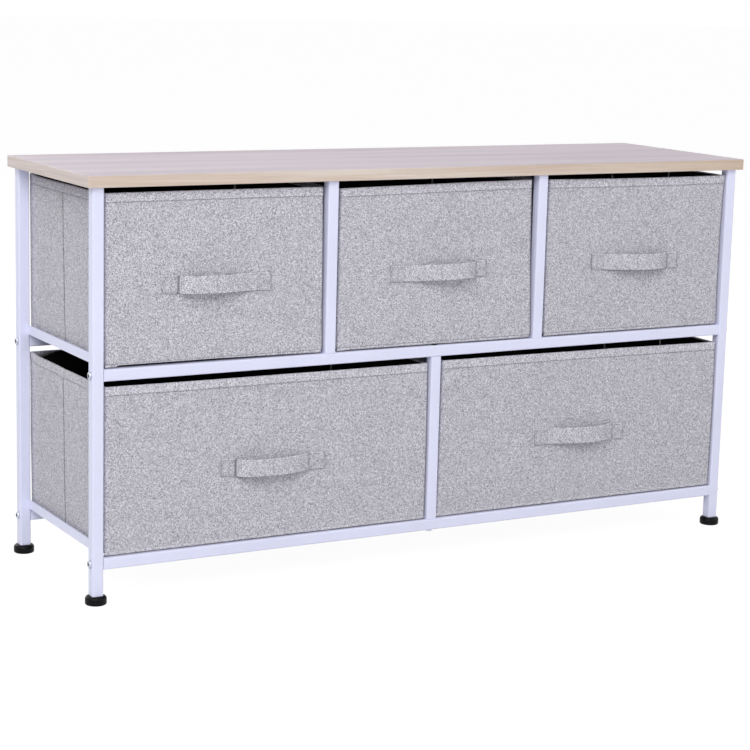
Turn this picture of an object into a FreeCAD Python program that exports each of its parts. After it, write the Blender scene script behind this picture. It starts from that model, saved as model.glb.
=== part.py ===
"""Five-drawer fabric dresser: steel tube frame, wood-grain top board, fabric drawers and levelling feet.

Millimetres. +X is the dresser's right, -Y its front and +Z up. The origin is on the floor under the
middle of the top board. Each sub-part is written to parts/NODE.step.
"""
import FreeCAD
import Part
import math
import os

from FreeCAD import Vector

# Top board
BOARD_LENGTH = 1000.0
BOARD_DEPTH = 290.0
BOARD_THICKNESS = 15.0
BOARD_EDGE_RADIUS = 0.8
BOARD_SIDE_OVERHANG = 8.0
BOARD_FRONT_OVERHANG = 6.0

# Square steel tube of the frame
TUBE_SIZE = 15.0
TUBE_WALL = 1.2
TUBE_CORNER_RADIUS = 2.0

# Heights: the clear height of both rows of drawers, and of the room below the bottom rails
FLOOR_CLEARANCE = 45.0
BAY_HEIGHT = 225.0

# Runners that the drawers slide on: steel strip with an upright leg and a ledge under the drawer
RUNNER_HEIGHT = 12.0
RUNNER_THICKNESS = 2.0
RUNNER_ABOVE_RAIL = 2.5
RUNNER_BEHIND_POST_FACE = 3.0
RUNNER_OVERLAP_WIDTH = 11.0

# Levelling feet and the plugs that hold them
FOOT_HEIGHT = 11.5
FOOT_DIAMETER = 27.5
FOOT_TOP_RADIUS = 4.0
FOOT_SOLE_RADIUS = 2.0
FOOT_SEAT_GAP = 0.3
STEM_DIAMETER = 6.0
STEM_LENGTH = 22.0
STEM_RUNNING_GAP = 0.05
PLUG_LENGTH = 18.0
PLUG_FIT_GAP = 0.05

# Machine screws that hold the rails to the posts and the lower dividers to the rails
BOLT_DIAMETER = 5.0
BOLT_GRIP = 10.0
BOLT_HOLE_GAP = 0.25
BOLT_HEAD_DIAMETER = 10.0
BOLT_HEAD_HEIGHT = 2.8
BOLT_HEAD_RADIUS = 1.8
THREAD_GAP = 0.05
NUT_LENGTH = 14.0
COUNTERSUNK_DIAMETER = 9.0
COUNTERSUNK_HEIGHT = 2.4
COUNTERSUNK_GAP = 0.1
RECESS_LENGTH = 4.6
RECESS_WIDTH = 1.0
RECESS_DEPTH = 1.4

# Tabs and wood screws that hold the board down on the uprights
TAB_LENGTH = 22.0
TAB_WIDTH = 12.0
TAB_THICKNESS = 1.5
TAB_HOLE_FROM_UPRIGHT = 13.0
TAB_HOLE_GAP = 0.3
WOOD_SCREW_DIAMETER = 3.5
WOOD_SCREW_BITE = 10.0
WOOD_SCREW_HEAD_DIAMETER = 7.0
WOOD_SCREW_HEAD_HEIGHT = 2.2
WOOD_SCREW_HEAD_RADIUS = 1.2
PILOT_GAP = 0.05
PILOT_EXTRA_DEPTH = 1.0

# Drawers: the running gap is below them, on the runners
DRAWER_SIDE_GAP = 4.0
DRAWER_TOP_GAP = 7.7
DRAWER_RUNNING_GAP = 0.3
DRAWER_RECESS = 6.0
DRAWER_CORNER_RADIUS = 3.0
HEM_RAIL_GAP = 0.8
FABRIC_THICKNESS = 1.0
PANEL_THICKNESS = 2.0
LINING_THICKNESS = 0.8
FOLD_GAP = 2.0
BASE_THICKNESS = 3.0
BASE_EDGE_GAP = 0.5

# Handle straps
HANDLE_LENGTH = 150.0
HANDLE_WIDTH = 24.0
HANDLE_THICKNESS = 2.0
HANDLE_TAB = 20.0
HANDLE_BOW = 14.0
HANDLE_BEND_RADIUS = 20.0
HANDLE_BELOW_MIDDLE = 12.0

# How far the shapes that cut holes run past the faces they cut
CUT_OVERRUN = 1.0

# Places worked out from the sizes above
FRAME_HALF_X = BOARD_LENGTH / 2 - BOARD_SIDE_OVERHANG
FRAME_HALF_Y = BOARD_DEPTH / 2 - BOARD_FRONT_OVERHANG
POST_X = FRAME_HALF_X - TUBE_SIZE / 2
POST_Y = FRAME_HALF_Y - TUBE_SIZE / 2
INNER_HALF_X = FRAME_HALF_X - TUBE_SIZE
INNER_HALF_Y = FRAME_HALF_Y - TUBE_SIZE
BOTTOM_RAIL_TOP = FLOOR_CLEARANCE + TUBE_SIZE
MID_RAIL_BOTTOM = BOTTOM_RAIL_TOP + BAY_HEIGHT
MID_RAIL_TOP = MID_RAIL_BOTTOM + TUBE_SIZE
BOARD_UNDERSIDE = MID_RAIL_TOP + BAY_HEIGHT
UPPER_BAY_WIDTH = (2 * INNER_HALF_X - 2 * TUBE_SIZE) / 3
LOWER_BAY_WIDTH = (2 * INNER_HALF_X - TUBE_SIZE) / 2
UPPER_DIVIDER_X = (UPPER_BAY_WIDTH + TUBE_SIZE) / 2
BORE_SIZE = TUBE_SIZE - 2 * TUBE_WALL
BORE_CORNER_RADIUS = TUBE_CORNER_RADIUS - TUBE_WALL
DRAWER_HALF_Y = FRAME_HALF_Y - DRAWER_RECESS
DRAWER_LIFT = RUNNER_ABOVE_RAIL + RUNNER_THICKNESS + DRAWER_RUNNING_GAP
DRAWER_HEIGHT = BAY_HEIGHT - DRAWER_LIFT - DRAWER_TOP_GAP
HEM_DROP = DRAWER_LIFT - HEM_RAIL_GAP
WALL_THICKNESS = FABRIC_THICKNESS + PANEL_THICKNESS + LINING_THICKNESS
BOTTOM_RAIL_MIDDLE = FLOOR_CLEARANCE + TUBE_SIZE / 2
MID_RAIL_MIDDLE = MID_RAIL_BOTTOM + TUBE_SIZE / 2
LEFT_RIGHT = {"left": -1, "right": 1}
FRONT_REAR = {"front": -1, "rear": 1}
RIGHT = Vector(1, 0, 0)
UP = Vector(0, 0, 1)


def block(x, y, z):
    """A box between the low and high ends given for each axis."""
    return Part.makeBox(x[1] - x[0], y[1] - y[0], z[1] - z[0], Vector(x[0], y[0], z[0]))


def around(middle, size):
    """The low and high ends of a stretch of the given size about a middle."""
    return (middle - size / 2, middle + size / 2)


def edges_along(solid, axis):
    """The straight edges of a solid that run along one axis."""
    found = []
    for edge in solid.Edges:
        run = edge.Vertexes[-1].Point - edge.Vertexes[0].Point
        if run.Length > 0 and abs(run.normalize().dot(axis)) > 0.999:
            found.append(edge)
    return found


def rounded_block(x, y, z, radius, axis):
    """A box whose four edges along one axis are rounded."""
    solid = block(x, y, z)
    if radius <= 0:
        return solid
    return solid.makeFillet(radius, edges_along(solid, axis))


def square_tube(x, y, z, axis):
    """A square tube that fills the given box and is open at both ends along axis."""
    outer = rounded_block(x, y, z, TUBE_CORNER_RADIUS, axis)
    bore_ends = []
    for ends, direction in zip((x, y, z), (axis.x, axis.y, axis.z)):
        inset = 0 if direction else TUBE_WALL
        bore_ends.append((ends[0] + inset, ends[1] - inset))
    bore = rounded_block(*bore_ends, BORE_CORNER_RADIUS, axis)
    return outer.cut(bore)


def rod(diameter, start, end):
    """A round bar between two points."""
    run = end - start
    return Part.makeCylinder(diameter / 2, run.Length, start, run)


def hole(diameter, start, direction, depth):
    """The round bar that cuts a hole through a wall of the given depth."""
    overrun = direction * CUT_OVERRUN
    return rod(diameter, start - overrun, start + direction * depth + overrun)


def turned(solid, place, direction):
    """A solid made along +Z from the origin, moved to a place and turned to a direction."""
    copy = solid.copy()
    copy.Placement = FreeCAD.Placement(place, FreeCAD.Rotation(UP, direction))
    return copy


def cross_recess(top):
    """The driver recess that is cut into a screw head whose top is at the given height."""
    depth = (top - RECESS_DEPTH, top + CUT_OVERRUN)
    bar_x = block(around(0, RECESS_LENGTH), around(0, RECESS_WIDTH), depth)
    bar_y = block(around(0, RECESS_WIDTH), around(0, RECESS_LENGTH), depth)
    return bar_x.fuse(bar_y)


def pan_screw(shank_diameter, shank_length, head_diameter, head_height, head_radius):
    """A pan-head screw: the head stands on +Z and the shank runs down from the origin."""
    head = Part.makeCylinder(head_diameter / 2, head_height)
    rim = [edge for edge in head.Edges if abs(edge.CenterOfMass.z - head_height) < 1e-6]
    head = head.makeFillet(head_radius, rim)
    shank = rod(shank_diameter, Vector(0, 0, 0), Vector(0, 0, -shank_length))
    return head.fuse(shank).cut(cross_recess(head_height)).removeSplitter()


def countersunk_head(gap):
    """The cone of a countersunk head whose top is at the origin, grown by a gap."""
    low_radius = BOLT_DIAMETER / 2 + gap
    high_radius = COUNTERSUNK_DIAMETER / 2 + gap
    return Part.makeCone(low_radius, high_radius, COUNTERSUNK_HEIGHT, Vector(0, 0, -COUNTERSUNK_HEIGHT))


def countersunk_screw():
    """A countersunk screw: its flat top is at the origin and its shank runs down."""
    shank = rod(BOLT_DIAMETER, Vector(0, 0, 0), Vector(0, 0, -TUBE_SIZE - BOLT_GRIP))
    return countersunk_head(0).fuse(shank).cut(cross_recess(0)).removeSplitter()


def posts():
    """The four corner posts, with the holes that the rail bolts pass through."""
    made = {}
    hole_diameter = BOLT_DIAMETER + 2 * BOLT_HOLE_GAP
    for end, side_y in FRONT_REAR.items():
        for hand, side_x in LEFT_RIGHT.items():
            x, y = side_x * POST_X, side_y * POST_Y
            post = square_tube(around(x, TUBE_SIZE), around(y, TUBE_SIZE), (FOOT_HEIGHT, BOARD_UNDERSIDE), UP)
            for z in (BOTTOM_RAIL_MIDDLE, MID_RAIL_MIDDLE):
                start = Vector(x - TUBE_SIZE / 2, y, z)
                post = post.cut(hole(hole_diameter, start, RIGHT, TUBE_SIZE))
            made[f"post_{end}_{hand}"] = post
    return made


def rails():
    """The front and rear rails, with the holes for the screws of the lower dividers."""
    made = {}
    hole_diameter = BOLT_DIAMETER + 2 * BOLT_HOLE_GAP
    across = (-INNER_HALF_X, INNER_HALF_X)
    for end, side_y in FRONT_REAR.items():
        y = side_y * POST_Y
        for level, bottom in (("bottom", FLOOR_CLEARANCE), ("mid", MID_RAIL_BOTTOM)):
            rail = square_tube(across, around(y, TUBE_SIZE), (bottom, bottom + TUBE_SIZE), RIGHT)
            rail = rail.cut(hole(hole_diameter, Vector(0, y, bottom), UP, TUBE_SIZE))
            if level == "mid":
                rail = rail.cut(turned(countersunk_head(COUNTERSUNK_GAP), Vector(0, y, MID_RAIL_TOP), UP))
            made[f"{end}_{level}_rail"] = rail
    return made


def runner(leg_x, ledge_x, rail_top):
    """A drawer runner just above the rails: an upright leg on a ledge, front to rear."""
    along = (-INNER_HALF_Y, INNER_HALF_Y)
    bottom = rail_top + RUNNER_ABOVE_RAIL
    leg = block(leg_x, along, (bottom, bottom + RUNNER_HEIGHT))
    ledge = block(ledge_x, along, (bottom, bottom + RUNNER_THICKNESS))
    return leg.fuse(ledge).removeSplitter()


def runners():
    """The drawer runners: an angle at each side of the frame and a tee at each pair of dividers."""
    made = {}
    outer = INNER_HALF_X + RUNNER_BEHIND_POST_FACE
    ledge_edge = INNER_HALF_X - DRAWER_SIDE_GAP - RUNNER_OVERLAP_WIDTH
    tee_width = TUBE_SIZE + 2 * (DRAWER_SIDE_GAP + RUNNER_OVERLAP_WIDTH)
    for hand, side_x in LEFT_RIGHT.items():
        leg_x = sorted((side_x * outer, side_x * (outer - RUNNER_THICKNESS)))
        ledge_x = sorted((side_x * outer, side_x * ledge_edge))
        made[f"side_runner_lower_{hand}"] = runner(leg_x, ledge_x, BOTTOM_RAIL_TOP)
        made[f"side_runner_upper_{hand}"] = runner(leg_x, ledge_x, MID_RAIL_TOP)
        divider_x = side_x * UPPER_DIVIDER_X
        made[f"divider_runner_upper_{hand}"] = runner(
            around(divider_x, RUNNER_THICKNESS), around(divider_x, tee_width), MID_RAIL_TOP
        )
    made["divider_runner_lower"] = runner(
        around(0, RUNNER_THICKNESS), around(0, tee_width), BOTTOM_RAIL_TOP
    )
    return made


def dividers():
    """The uprights between the drawers: two pairs above the mid rails and one pair below."""
    made = {}
    for end, side_y in FRONT_REAR.items():
        y = around(side_y * POST_Y, TUBE_SIZE)
        for hand, side_x in LEFT_RIGHT.items():
            x = around(side_x * UPPER_DIVIDER_X, TUBE_SIZE)
            made[f"upper_divider_{end}_{hand}"] = square_tube(x, y, (MID_RAIL_TOP, BOARD_UNDERSIDE), UP)
        made[f"lower_divider_{end}"] = square_tube(
            around(0, TUBE_SIZE), y, (BOTTOM_RAIL_TOP, MID_RAIL_BOTTOM), UP
        )
    return made


def tube_plug(length, hole_diameter):
    """A square plug with a hole along +Z that fits in the bore of a tube; its open end is at z = 0."""
    side = around(0, BORE_SIZE - 2 * PLUG_FIT_GAP)
    body = rounded_block(side, side, (0, length), BORE_CORNER_RADIUS, UP)
    return body.cut(hole(hole_diameter, Vector(0, 0, 0), UP, length))


def foot_plugs():
    """The threaded plugs in the bottom ends of the posts."""
    plug = tube_plug(PLUG_LENGTH, STEM_DIAMETER + 2 * STEM_RUNNING_GAP)
    return [turned(plug, Vector(x, y, FOOT_HEIGHT), UP) for x, y in post_places()]


def post_places():
    """The middles of the four posts, seen from above."""
    return [(sx * POST_X, sy * POST_Y) for sy in FRONT_REAR.values() for sx in LEFT_RIGHT.values()]


def rail_end_nuts():
    """The threaded nuts in both ends of each rail."""
    nut = tube_plug(NUT_LENGTH, BOLT_DIAMETER + 2 * THREAD_GAP)
    nuts = []
    for side_x in LEFT_RIGHT.values():
        for side_y in FRONT_REAR.values():
            for z in (BOTTOM_RAIL_MIDDLE, MID_RAIL_MIDDLE):
                place = Vector(side_x * INNER_HALF_X, side_y * POST_Y, z)
                nuts.append(turned(nut, place, Vector(-side_x, 0, 0)))
    return nuts


def divider_end_nuts():
    """The threaded nuts in both ends of the lower dividers."""
    nut = tube_plug(NUT_LENGTH, BOLT_DIAMETER + 2 * THREAD_GAP)
    nuts = []
    for side_y in FRONT_REAR.values():
        y = side_y * POST_Y
        nuts.append(turned(nut, Vector(0, y, BOTTOM_RAIL_TOP), UP))
        nuts.append(turned(nut, Vector(0, y, MID_RAIL_BOTTOM), -UP))
    return nuts


def bolt():
    """The pan-head machine screw that passes through one tube and grips the nut behind it."""
    return pan_screw(
        BOLT_DIAMETER, TUBE_SIZE + BOLT_GRIP, BOLT_HEAD_DIAMETER, BOLT_HEAD_HEIGHT, BOLT_HEAD_RADIUS
    )


def rail_bolts():
    """The bolts through the posts into the rails, with their heads on the dresser's sides."""
    bolts = []
    for side_x in LEFT_RIGHT.values():
        for side_y in FRONT_REAR.values():
            for z in (BOTTOM_RAIL_MIDDLE, MID_RAIL_MIDDLE):
                place = Vector(side_x * FRAME_HALF_X, side_y * POST_Y, z)
                bolts.append(turned(bolt(), place, Vector(side_x, 0, 0)))
    return bolts


def divider_bolts():
    """The bolts up through the bottom rails into the lower dividers."""
    return [turned(bolt(), Vector(0, sy * POST_Y, FLOOR_CLEARANCE), -UP) for sy in FRONT_REAR.values()]


def divider_flush_screws():
    """The countersunk screws down through the mid rails into the lower dividers."""
    screw = countersunk_screw()
    return [turned(screw, Vector(0, sy * POST_Y, MID_RAIL_TOP), UP) for sy in FRONT_REAR.values()]


def board_fixings():
    """The uprights that hold the board: their middle in X, and the side of Y that they stand on."""
    columns = [sx * x for x in (POST_X, UPPER_DIVIDER_X) for sx in LEFT_RIGHT.values()]
    return [(x, side_y) for x in columns for side_y in FRONT_REAR.values()]


def wood_screw_place(x, side_y):
    """The middle of a wood screw, on the underside of its tab."""
    y = side_y * (INNER_HALF_Y - TAB_HOLE_FROM_UPRIGHT)
    return Vector(x, y, BOARD_UNDERSIDE - TAB_THICKNESS)


def board_tabs():
    """The plates at the tops of the uprights that the board is screwed to."""
    tabs = []
    hole_diameter = WOOD_SCREW_DIAMETER + 2 * TAB_HOLE_GAP
    for x, side_y in board_fixings():
        y = sorted((side_y * INNER_HALF_Y, side_y * (INNER_HALF_Y - TAB_LENGTH)))
        tab = block(around(x, TAB_WIDTH), y, (BOARD_UNDERSIDE - TAB_THICKNESS, BOARD_UNDERSIDE))
        tabs.append(tab.cut(hole(hole_diameter, wood_screw_place(x, side_y), UP, TAB_THICKNESS)))
    return tabs


def wood_screw():
    """The pan-head screw that passes through a tab into the board."""
    return pan_screw(
        WOOD_SCREW_DIAMETER,
        TAB_THICKNESS + WOOD_SCREW_BITE,
        WOOD_SCREW_HEAD_DIAMETER,
        WOOD_SCREW_HEAD_HEIGHT,
        WOOD_SCREW_HEAD_RADIUS,
    )


def board_screws():
    """The wood screws under the board."""
    return [turned(wood_screw(), wood_screw_place(x, side_y), -UP) for x, side_y in board_fixings()]


def top_board():
    """The top board, with a pilot hole above each tab."""
    board = block(
        around(0, BOARD_LENGTH), around(0, BOARD_DEPTH), (BOARD_UNDERSIDE, BOARD_UNDERSIDE + BOARD_THICKNESS)
    )
    board = board.makeFillet(BOARD_EDGE_RADIUS, board.Edges)
    pilot_depth = UP * (TAB_THICKNESS + WOOD_SCREW_BITE + PILOT_EXTRA_DEPTH)
    for x, side_y in board_fixings():
        start = wood_screw_place(x, side_y)
        board = board.cut(rod(WOOD_SCREW_DIAMETER + 2 * PILOT_GAP, start, start + pilot_depth))
    return board


def foot():
    """A levelling foot at the origin: a round pad on the floor and the screw stem above it."""
    top = FOOT_HEIGHT - FOOT_SEAT_GAP
    pad = Part.makeCylinder(FOOT_DIAMETER / 2, top)
    sole = [edge for edge in pad.Edges if abs(edge.CenterOfMass.z) < 1e-6]
    pad = pad.makeFillet(FOOT_SOLE_RADIUS, sole)
    crown = [edge for edge in pad.Edges if abs(edge.CenterOfMass.z - top) < 1e-6]
    pad = pad.makeFillet(FOOT_TOP_RADIUS, crown)
    stem = rod(STEM_DIAMETER, Vector(0, 0, top / 2), Vector(0, 0, top + STEM_LENGTH))
    return pad.fuse(stem).removeSplitter()


def feet():
    """The four levelling feet."""
    made = {}
    for end, side_y in FRONT_REAR.items():
        for hand, side_x in LEFT_RIGHT.items():
            place = Vector(side_x * POST_X, side_y * POST_Y, 0)
            made[f"foot_{end}_{hand}"] = turned(foot(), place, UP)
    return made


def drawer_bays():
    """Each drawer's name, with the middle of its bay, the bay's width and the rail top below it."""
    upper_step = UPPER_BAY_WIDTH + TUBE_SIZE
    lower_step = (LOWER_BAY_WIDTH + TUBE_SIZE) / 2
    return {
        "upper_left": (-upper_step, UPPER_BAY_WIDTH, MID_RAIL_TOP),
        "upper_middle": (0, UPPER_BAY_WIDTH, MID_RAIL_TOP),
        "upper_right": (upper_step, UPPER_BAY_WIDTH, MID_RAIL_TOP),
        "lower_left": (-lower_step, LOWER_BAY_WIDTH, BOTTOM_RAIL_TOP),
        "lower_right": (lower_step, LOWER_BAY_WIDTH, BOTTOM_RAIL_TOP),
    }


def inset_block(half_x, inset, z, radius):
    """A box as wide and deep as a drawer less an inset on every side, with rounded upright edges."""
    x = (-half_x + inset, half_x - inset)
    y = (-DRAWER_HALF_Y + inset, DRAWER_HALF_Y - inset)
    return rounded_block(x, y, z, radius, UP)


def drawer_fabric(half_x):
    """The outer fabric: bottom, walls, the rim turned in over the panels and the hem below the front."""
    outer = inset_block(half_x, 0, (0, DRAWER_HEIGHT), DRAWER_CORNER_RADIUS)
    pocket_height = (FABRIC_THICKNESS, DRAWER_HEIGHT - FABRIC_THICKNESS)
    pocket = inset_block(half_x, FABRIC_THICKNESS, pocket_height, DRAWER_CORNER_RADIUS - FABRIC_THICKNESS)
    mouth = inset_block(half_x, WALL_THICKNESS, (FABRIC_THICKNESS, DRAWER_HEIGHT + CUT_OVERRUN), 0)
    hem_x = (-half_x + DRAWER_CORNER_RADIUS, half_x - DRAWER_CORNER_RADIUS)
    hem_y = (-DRAWER_HALF_Y, -DRAWER_HALF_Y + FABRIC_THICKNESS)
    hem = block(hem_x, hem_y, (-HEM_DROP, FABRIC_THICKNESS))
    return outer.cut(pocket).cut(mouth).fuse(hem).removeSplitter()


def drawer_lining(half_x):
    """The inner lining: a floor and four walls, up to the rim."""
    top = DRAWER_HEIGHT - FABRIC_THICKNESS
    outer = inset_block(half_x, FABRIC_THICKNESS + PANEL_THICKNESS, (FABRIC_THICKNESS, top), 0)
    floor = FABRIC_THICKNESS + LINING_THICKNESS
    inner = inset_block(half_x, WALL_THICKNESS, (floor, top + CUT_OVERRUN), 0)
    return outer.cut(inner)


def drawer_panels(half_x):
    """The stiff panels in the walls: front, back, and two halves in each side that fold in the middle."""
    outside = FABRIC_THICKNESS
    inside = FABRIC_THICKNESS + PANEL_THICKNESS
    z = (FABRIC_THICKNESS, DRAWER_HEIGHT - FABRIC_THICKNESS)
    panels = []
    for side in (-1, 1):
        y = sorted((side * (DRAWER_HALF_Y - outside), side * (DRAWER_HALF_Y - inside)))
        panels.append(block((-half_x + inside, half_x - inside), y, z))
    for side_x in (-1, 1):
        x = sorted((side_x * (half_x - outside), side_x * (half_x - inside)))
        for side_y in (-1, 1):
            y = sorted((side_y * FOLD_GAP / 2, side_y * (DRAWER_HALF_Y - inside)))
            panels.append(block(x, y, z))
    return Part.makeCompound(panels)


def drawer_base(half_x):
    """The loose board that lies on the drawer's floor."""
    bottom = FABRIC_THICKNESS + LINING_THICKNESS
    return inset_block(half_x, WALL_THICKNESS + BASE_EDGE_GAP, (bottom, bottom + BASE_THICKNESS), 0)


def strap_side(offset):
    """One face of the bowed strap, seen from above: three tangent arcs, offset from its middle line."""
    half_span = HANDLE_LENGTH / 2 - HANDLE_TAB
    turn = 2 * math.atan2(HANDLE_BOW, half_span)
    bow_radius = half_span / math.sin(turn) - HANDLE_BEND_RADIUS
    bend = HANDLE_BEND_RADIUS - offset
    bow = bow_radius + offset
    foot_out = HANDLE_THICKNESS / 2 + HANDLE_BEND_RADIUS
    bow_centre_out = HANDLE_THICKNESS / 2 + HANDLE_BOW - bow_radius

    def near_tab(side, angle):
        out = foot_out - bend * math.cos(angle)
        return Vector(side * (half_span - bend * math.sin(angle)), -out, 0)

    def on_bow(angle):
        return Vector(bow * math.sin(angle), -(bow_centre_out + bow * math.cos(angle)), 0)

    return [
        Part.Arc(near_tab(-1, 0), near_tab(-1, turn / 2), near_tab(-1, turn)).toShape(),
        Part.Arc(on_bow(-turn), on_bow(0), on_bow(turn)).toShape(),
        Part.Arc(near_tab(1, turn), near_tab(1, turn / 2), near_tab(1, 0)).toShape(),
    ]


def drawer_handle():
    """The strap handle: two flat stitched tabs with a bow between them, on the drawer's front."""
    half_span = HANDLE_LENGTH / 2 - HANDLE_TAB
    ends = (HANDLE_LENGTH / 2, half_span)
    outer = strap_side(HANDLE_THICKNESS / 2)
    inner = strap_side(-HANDLE_THICKNESS / 2)
    far, near = -HANDLE_THICKNESS, 0
    closing = [
        Part.makeLine(Vector(-ends[1], far, 0), Vector(-ends[0], far, 0)),
        Part.makeLine(Vector(-ends[0], far, 0), Vector(-ends[0], near, 0)),
        Part.makeLine(Vector(-ends[0], near, 0), Vector(-ends[1], near, 0)),
        Part.makeLine(Vector(ends[1], near, 0), Vector(ends[0], near, 0)),
        Part.makeLine(Vector(ends[0], near, 0), Vector(ends[0], far, 0)),
        Part.makeLine(Vector(ends[0], far, 0), Vector(ends[1], far, 0)),
    ]
    outline = Part.Wire(Part.__sortEdges__(outer + inner + closing))
    strap = Part.Face(outline).extrude(UP * HANDLE_WIDTH)
    middle = DRAWER_HEIGHT / 2 - HANDLE_BELOW_MIDDLE
    strap.translate(Vector(0, -DRAWER_HALF_Y, middle - HANDLE_WIDTH / 2))
    return strap


def drawers():
    """The five drawers, each as fabric, lining, wall panels, base board and handle."""
    made = {}
    for name, (middle, bay_width, rail_top) in drawer_bays().items():
        half_x = bay_width / 2 - DRAWER_SIDE_GAP
        pieces = {
            "fabric": drawer_fabric(half_x),
            "lining": drawer_lining(half_x),
            "panels": drawer_panels(half_x),
            "base": drawer_base(half_x),
            "handle": drawer_handle(),
        }
        for piece, shape in pieces.items():
            shape.translate(Vector(middle, 0, rail_top + DRAWER_LIFT))
            made[f"drawer_{name}_{piece}"] = shape
    return made


def frame_fasteners():
    """The like small pieces of the frame, one node for each kind."""
    groups = {
        "foot_plugs": foot_plugs(),
        "rail_end_nuts": rail_end_nuts(),
        "divider_end_nuts": divider_end_nuts(),
        "rail_bolts": rail_bolts(),
        "divider_bolts": divider_bolts(),
        "divider_flush_screws": divider_flush_screws(),
        "board_tabs": board_tabs(),
        "board_screws": board_screws(),
    }
    return {name: Part.makeCompound(solids) for name, solids in groups.items()}


def dresser():
    """Every sub-part of the dresser, by name."""
    made = {"top_board": top_board()}
    for group in (posts, rails, runners, dividers, frame_fasteners, feet, drawers):
        made.update(group())
    return made


os.makedirs("parts", exist_ok=True)
for node, shape in dresser().items():
    shape.exportStep(f"parts/{node}.step")
    print(node, len(shape.Solids), "solids", "valid" if shape.isValid() else "NOT VALID", round(shape.Volume))
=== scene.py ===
"""Five-drawer fabric dresser: painted steel frame, wood-grain top and linen drawers with strap handles."""

import bisect
import math

import bmesh
import bpy
from bpy.props import FloatProperty, FloatVectorProperty, PointerProperty
from mathutils import Matrix, Vector, geometry, noise


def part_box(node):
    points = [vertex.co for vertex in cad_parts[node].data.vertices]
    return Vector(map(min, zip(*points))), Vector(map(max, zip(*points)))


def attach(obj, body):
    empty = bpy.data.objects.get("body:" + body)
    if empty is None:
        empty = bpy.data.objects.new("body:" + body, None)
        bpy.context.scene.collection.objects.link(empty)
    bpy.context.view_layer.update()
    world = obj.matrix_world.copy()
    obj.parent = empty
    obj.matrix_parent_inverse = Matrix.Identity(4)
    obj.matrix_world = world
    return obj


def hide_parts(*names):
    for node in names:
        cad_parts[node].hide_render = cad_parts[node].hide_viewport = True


bl_info = {
    "name": "Fabric Drawer Dresser",
    "version": (1, 0, 0),
    "blender": (4, 5, 0),
    "location": "View3D > Sidebar > Dresser",
    "description": "Dresses a steel-framed chest of five fabric drawers",
    "category": "Object",
}

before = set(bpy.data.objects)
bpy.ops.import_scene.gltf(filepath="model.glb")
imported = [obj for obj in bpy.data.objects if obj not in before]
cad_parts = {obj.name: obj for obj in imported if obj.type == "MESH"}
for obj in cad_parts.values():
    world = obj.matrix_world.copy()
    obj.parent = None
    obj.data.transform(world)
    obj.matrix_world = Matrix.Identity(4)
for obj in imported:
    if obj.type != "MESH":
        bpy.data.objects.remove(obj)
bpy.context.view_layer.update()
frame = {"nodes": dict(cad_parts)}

MM = 0.001
DRAWERS = ("upper_left", "upper_middle", "upper_right", "lower_left", "lower_right")

# How each drawer's soft walls have settled, in millimetres: the rise of the front rim at its left,
# middle and right; the shift along X of the front's left and right edges at their top, middle and
# bottom, and of the rear corners at their top and bottom; how far the front's right edge stands forward
# at its top, middle and bottom; and how far the strip below the front has curled up, as pairs of its
# share of the width and the rise.
SETTLED = {
    "upper_left": {
        "rim": (0.0, 0.3, 0.0),
        "left": (0.4, 0.0, 0.2),
        "right": (-0.2, 1.6, 3.2),
        "forward": (0.0, 0.0, 0.6),
        "rear_left": (-0.9, -0.2),
        "rear_right": (3.0, 0.5),
        "strip": ((0.0, -0.5), (0.045, -0.5), (0.06, 2.3), (0.5, 2.2), (0.85, 0.7), (1.0, -0.3)),
    },
    "upper_middle": {
        "rim": (-3.0, -0.5, 1.5),
        "left": (2.3, 1.8, 1.4),
        "right": (-3.0, 0.1, 3.2),
        "forward": (0.0, 0.0, 1.8),
        "rear_left": (0.4, 0.2),
        "rear_right": (-0.6, -0.2),
        "strip": ((0.0, -0.5), (0.03, -0.4), (0.06, 0.4), (0.48, 0.2), (0.5, 0.7), (0.53, 0.0), (1.0, 0.1)),
    },
    "upper_right": {
        "rim": (0.8, -0.9, -0.5),
        "left": (2.8, 2.8, 3.0),
        "right": (3.2, 2.0, 3.2),
        "forward": (2.6, 0.2, 1.2),
        "rear_left": (0.4, 0.2),
        "rear_right": (-0.4, -0.2),
        "strip": ((0.0, -0.3), (0.2, 0.1), (0.7, -0.1), (1.0, 0.2)),
    },
    "lower_left": {
        "rim": (-0.3, -1.5, -1.6),
        "left": (0.3, 0.0, 0.2),
        "right": (2.6, 3.2, 3.2),
        "forward": (0.2, 1.8, 1.8),
        "rear_left": (-2.1, -0.4),
        "rear_right": (-0.4, -0.2),
        "strip": ((0.0, -0.5), (0.4, -0.2), (1.0, -0.3)),
    },
    "lower_right": {
        "rim": (0.2, -1.0, -3.2),
        "left": (2.5, 1.5, 0.5),
        "right": (3.0, 3.2, 3.2),
        "forward": (2.2, 3.2, 2.4),
        "rear_left": (0.4, 0.2),
        "rear_right": (-0.4, -0.2),
        "strip": ((0.0, -0.4), (0.3, 0.1), (1.0, -0.2)),
    },
}
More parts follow.
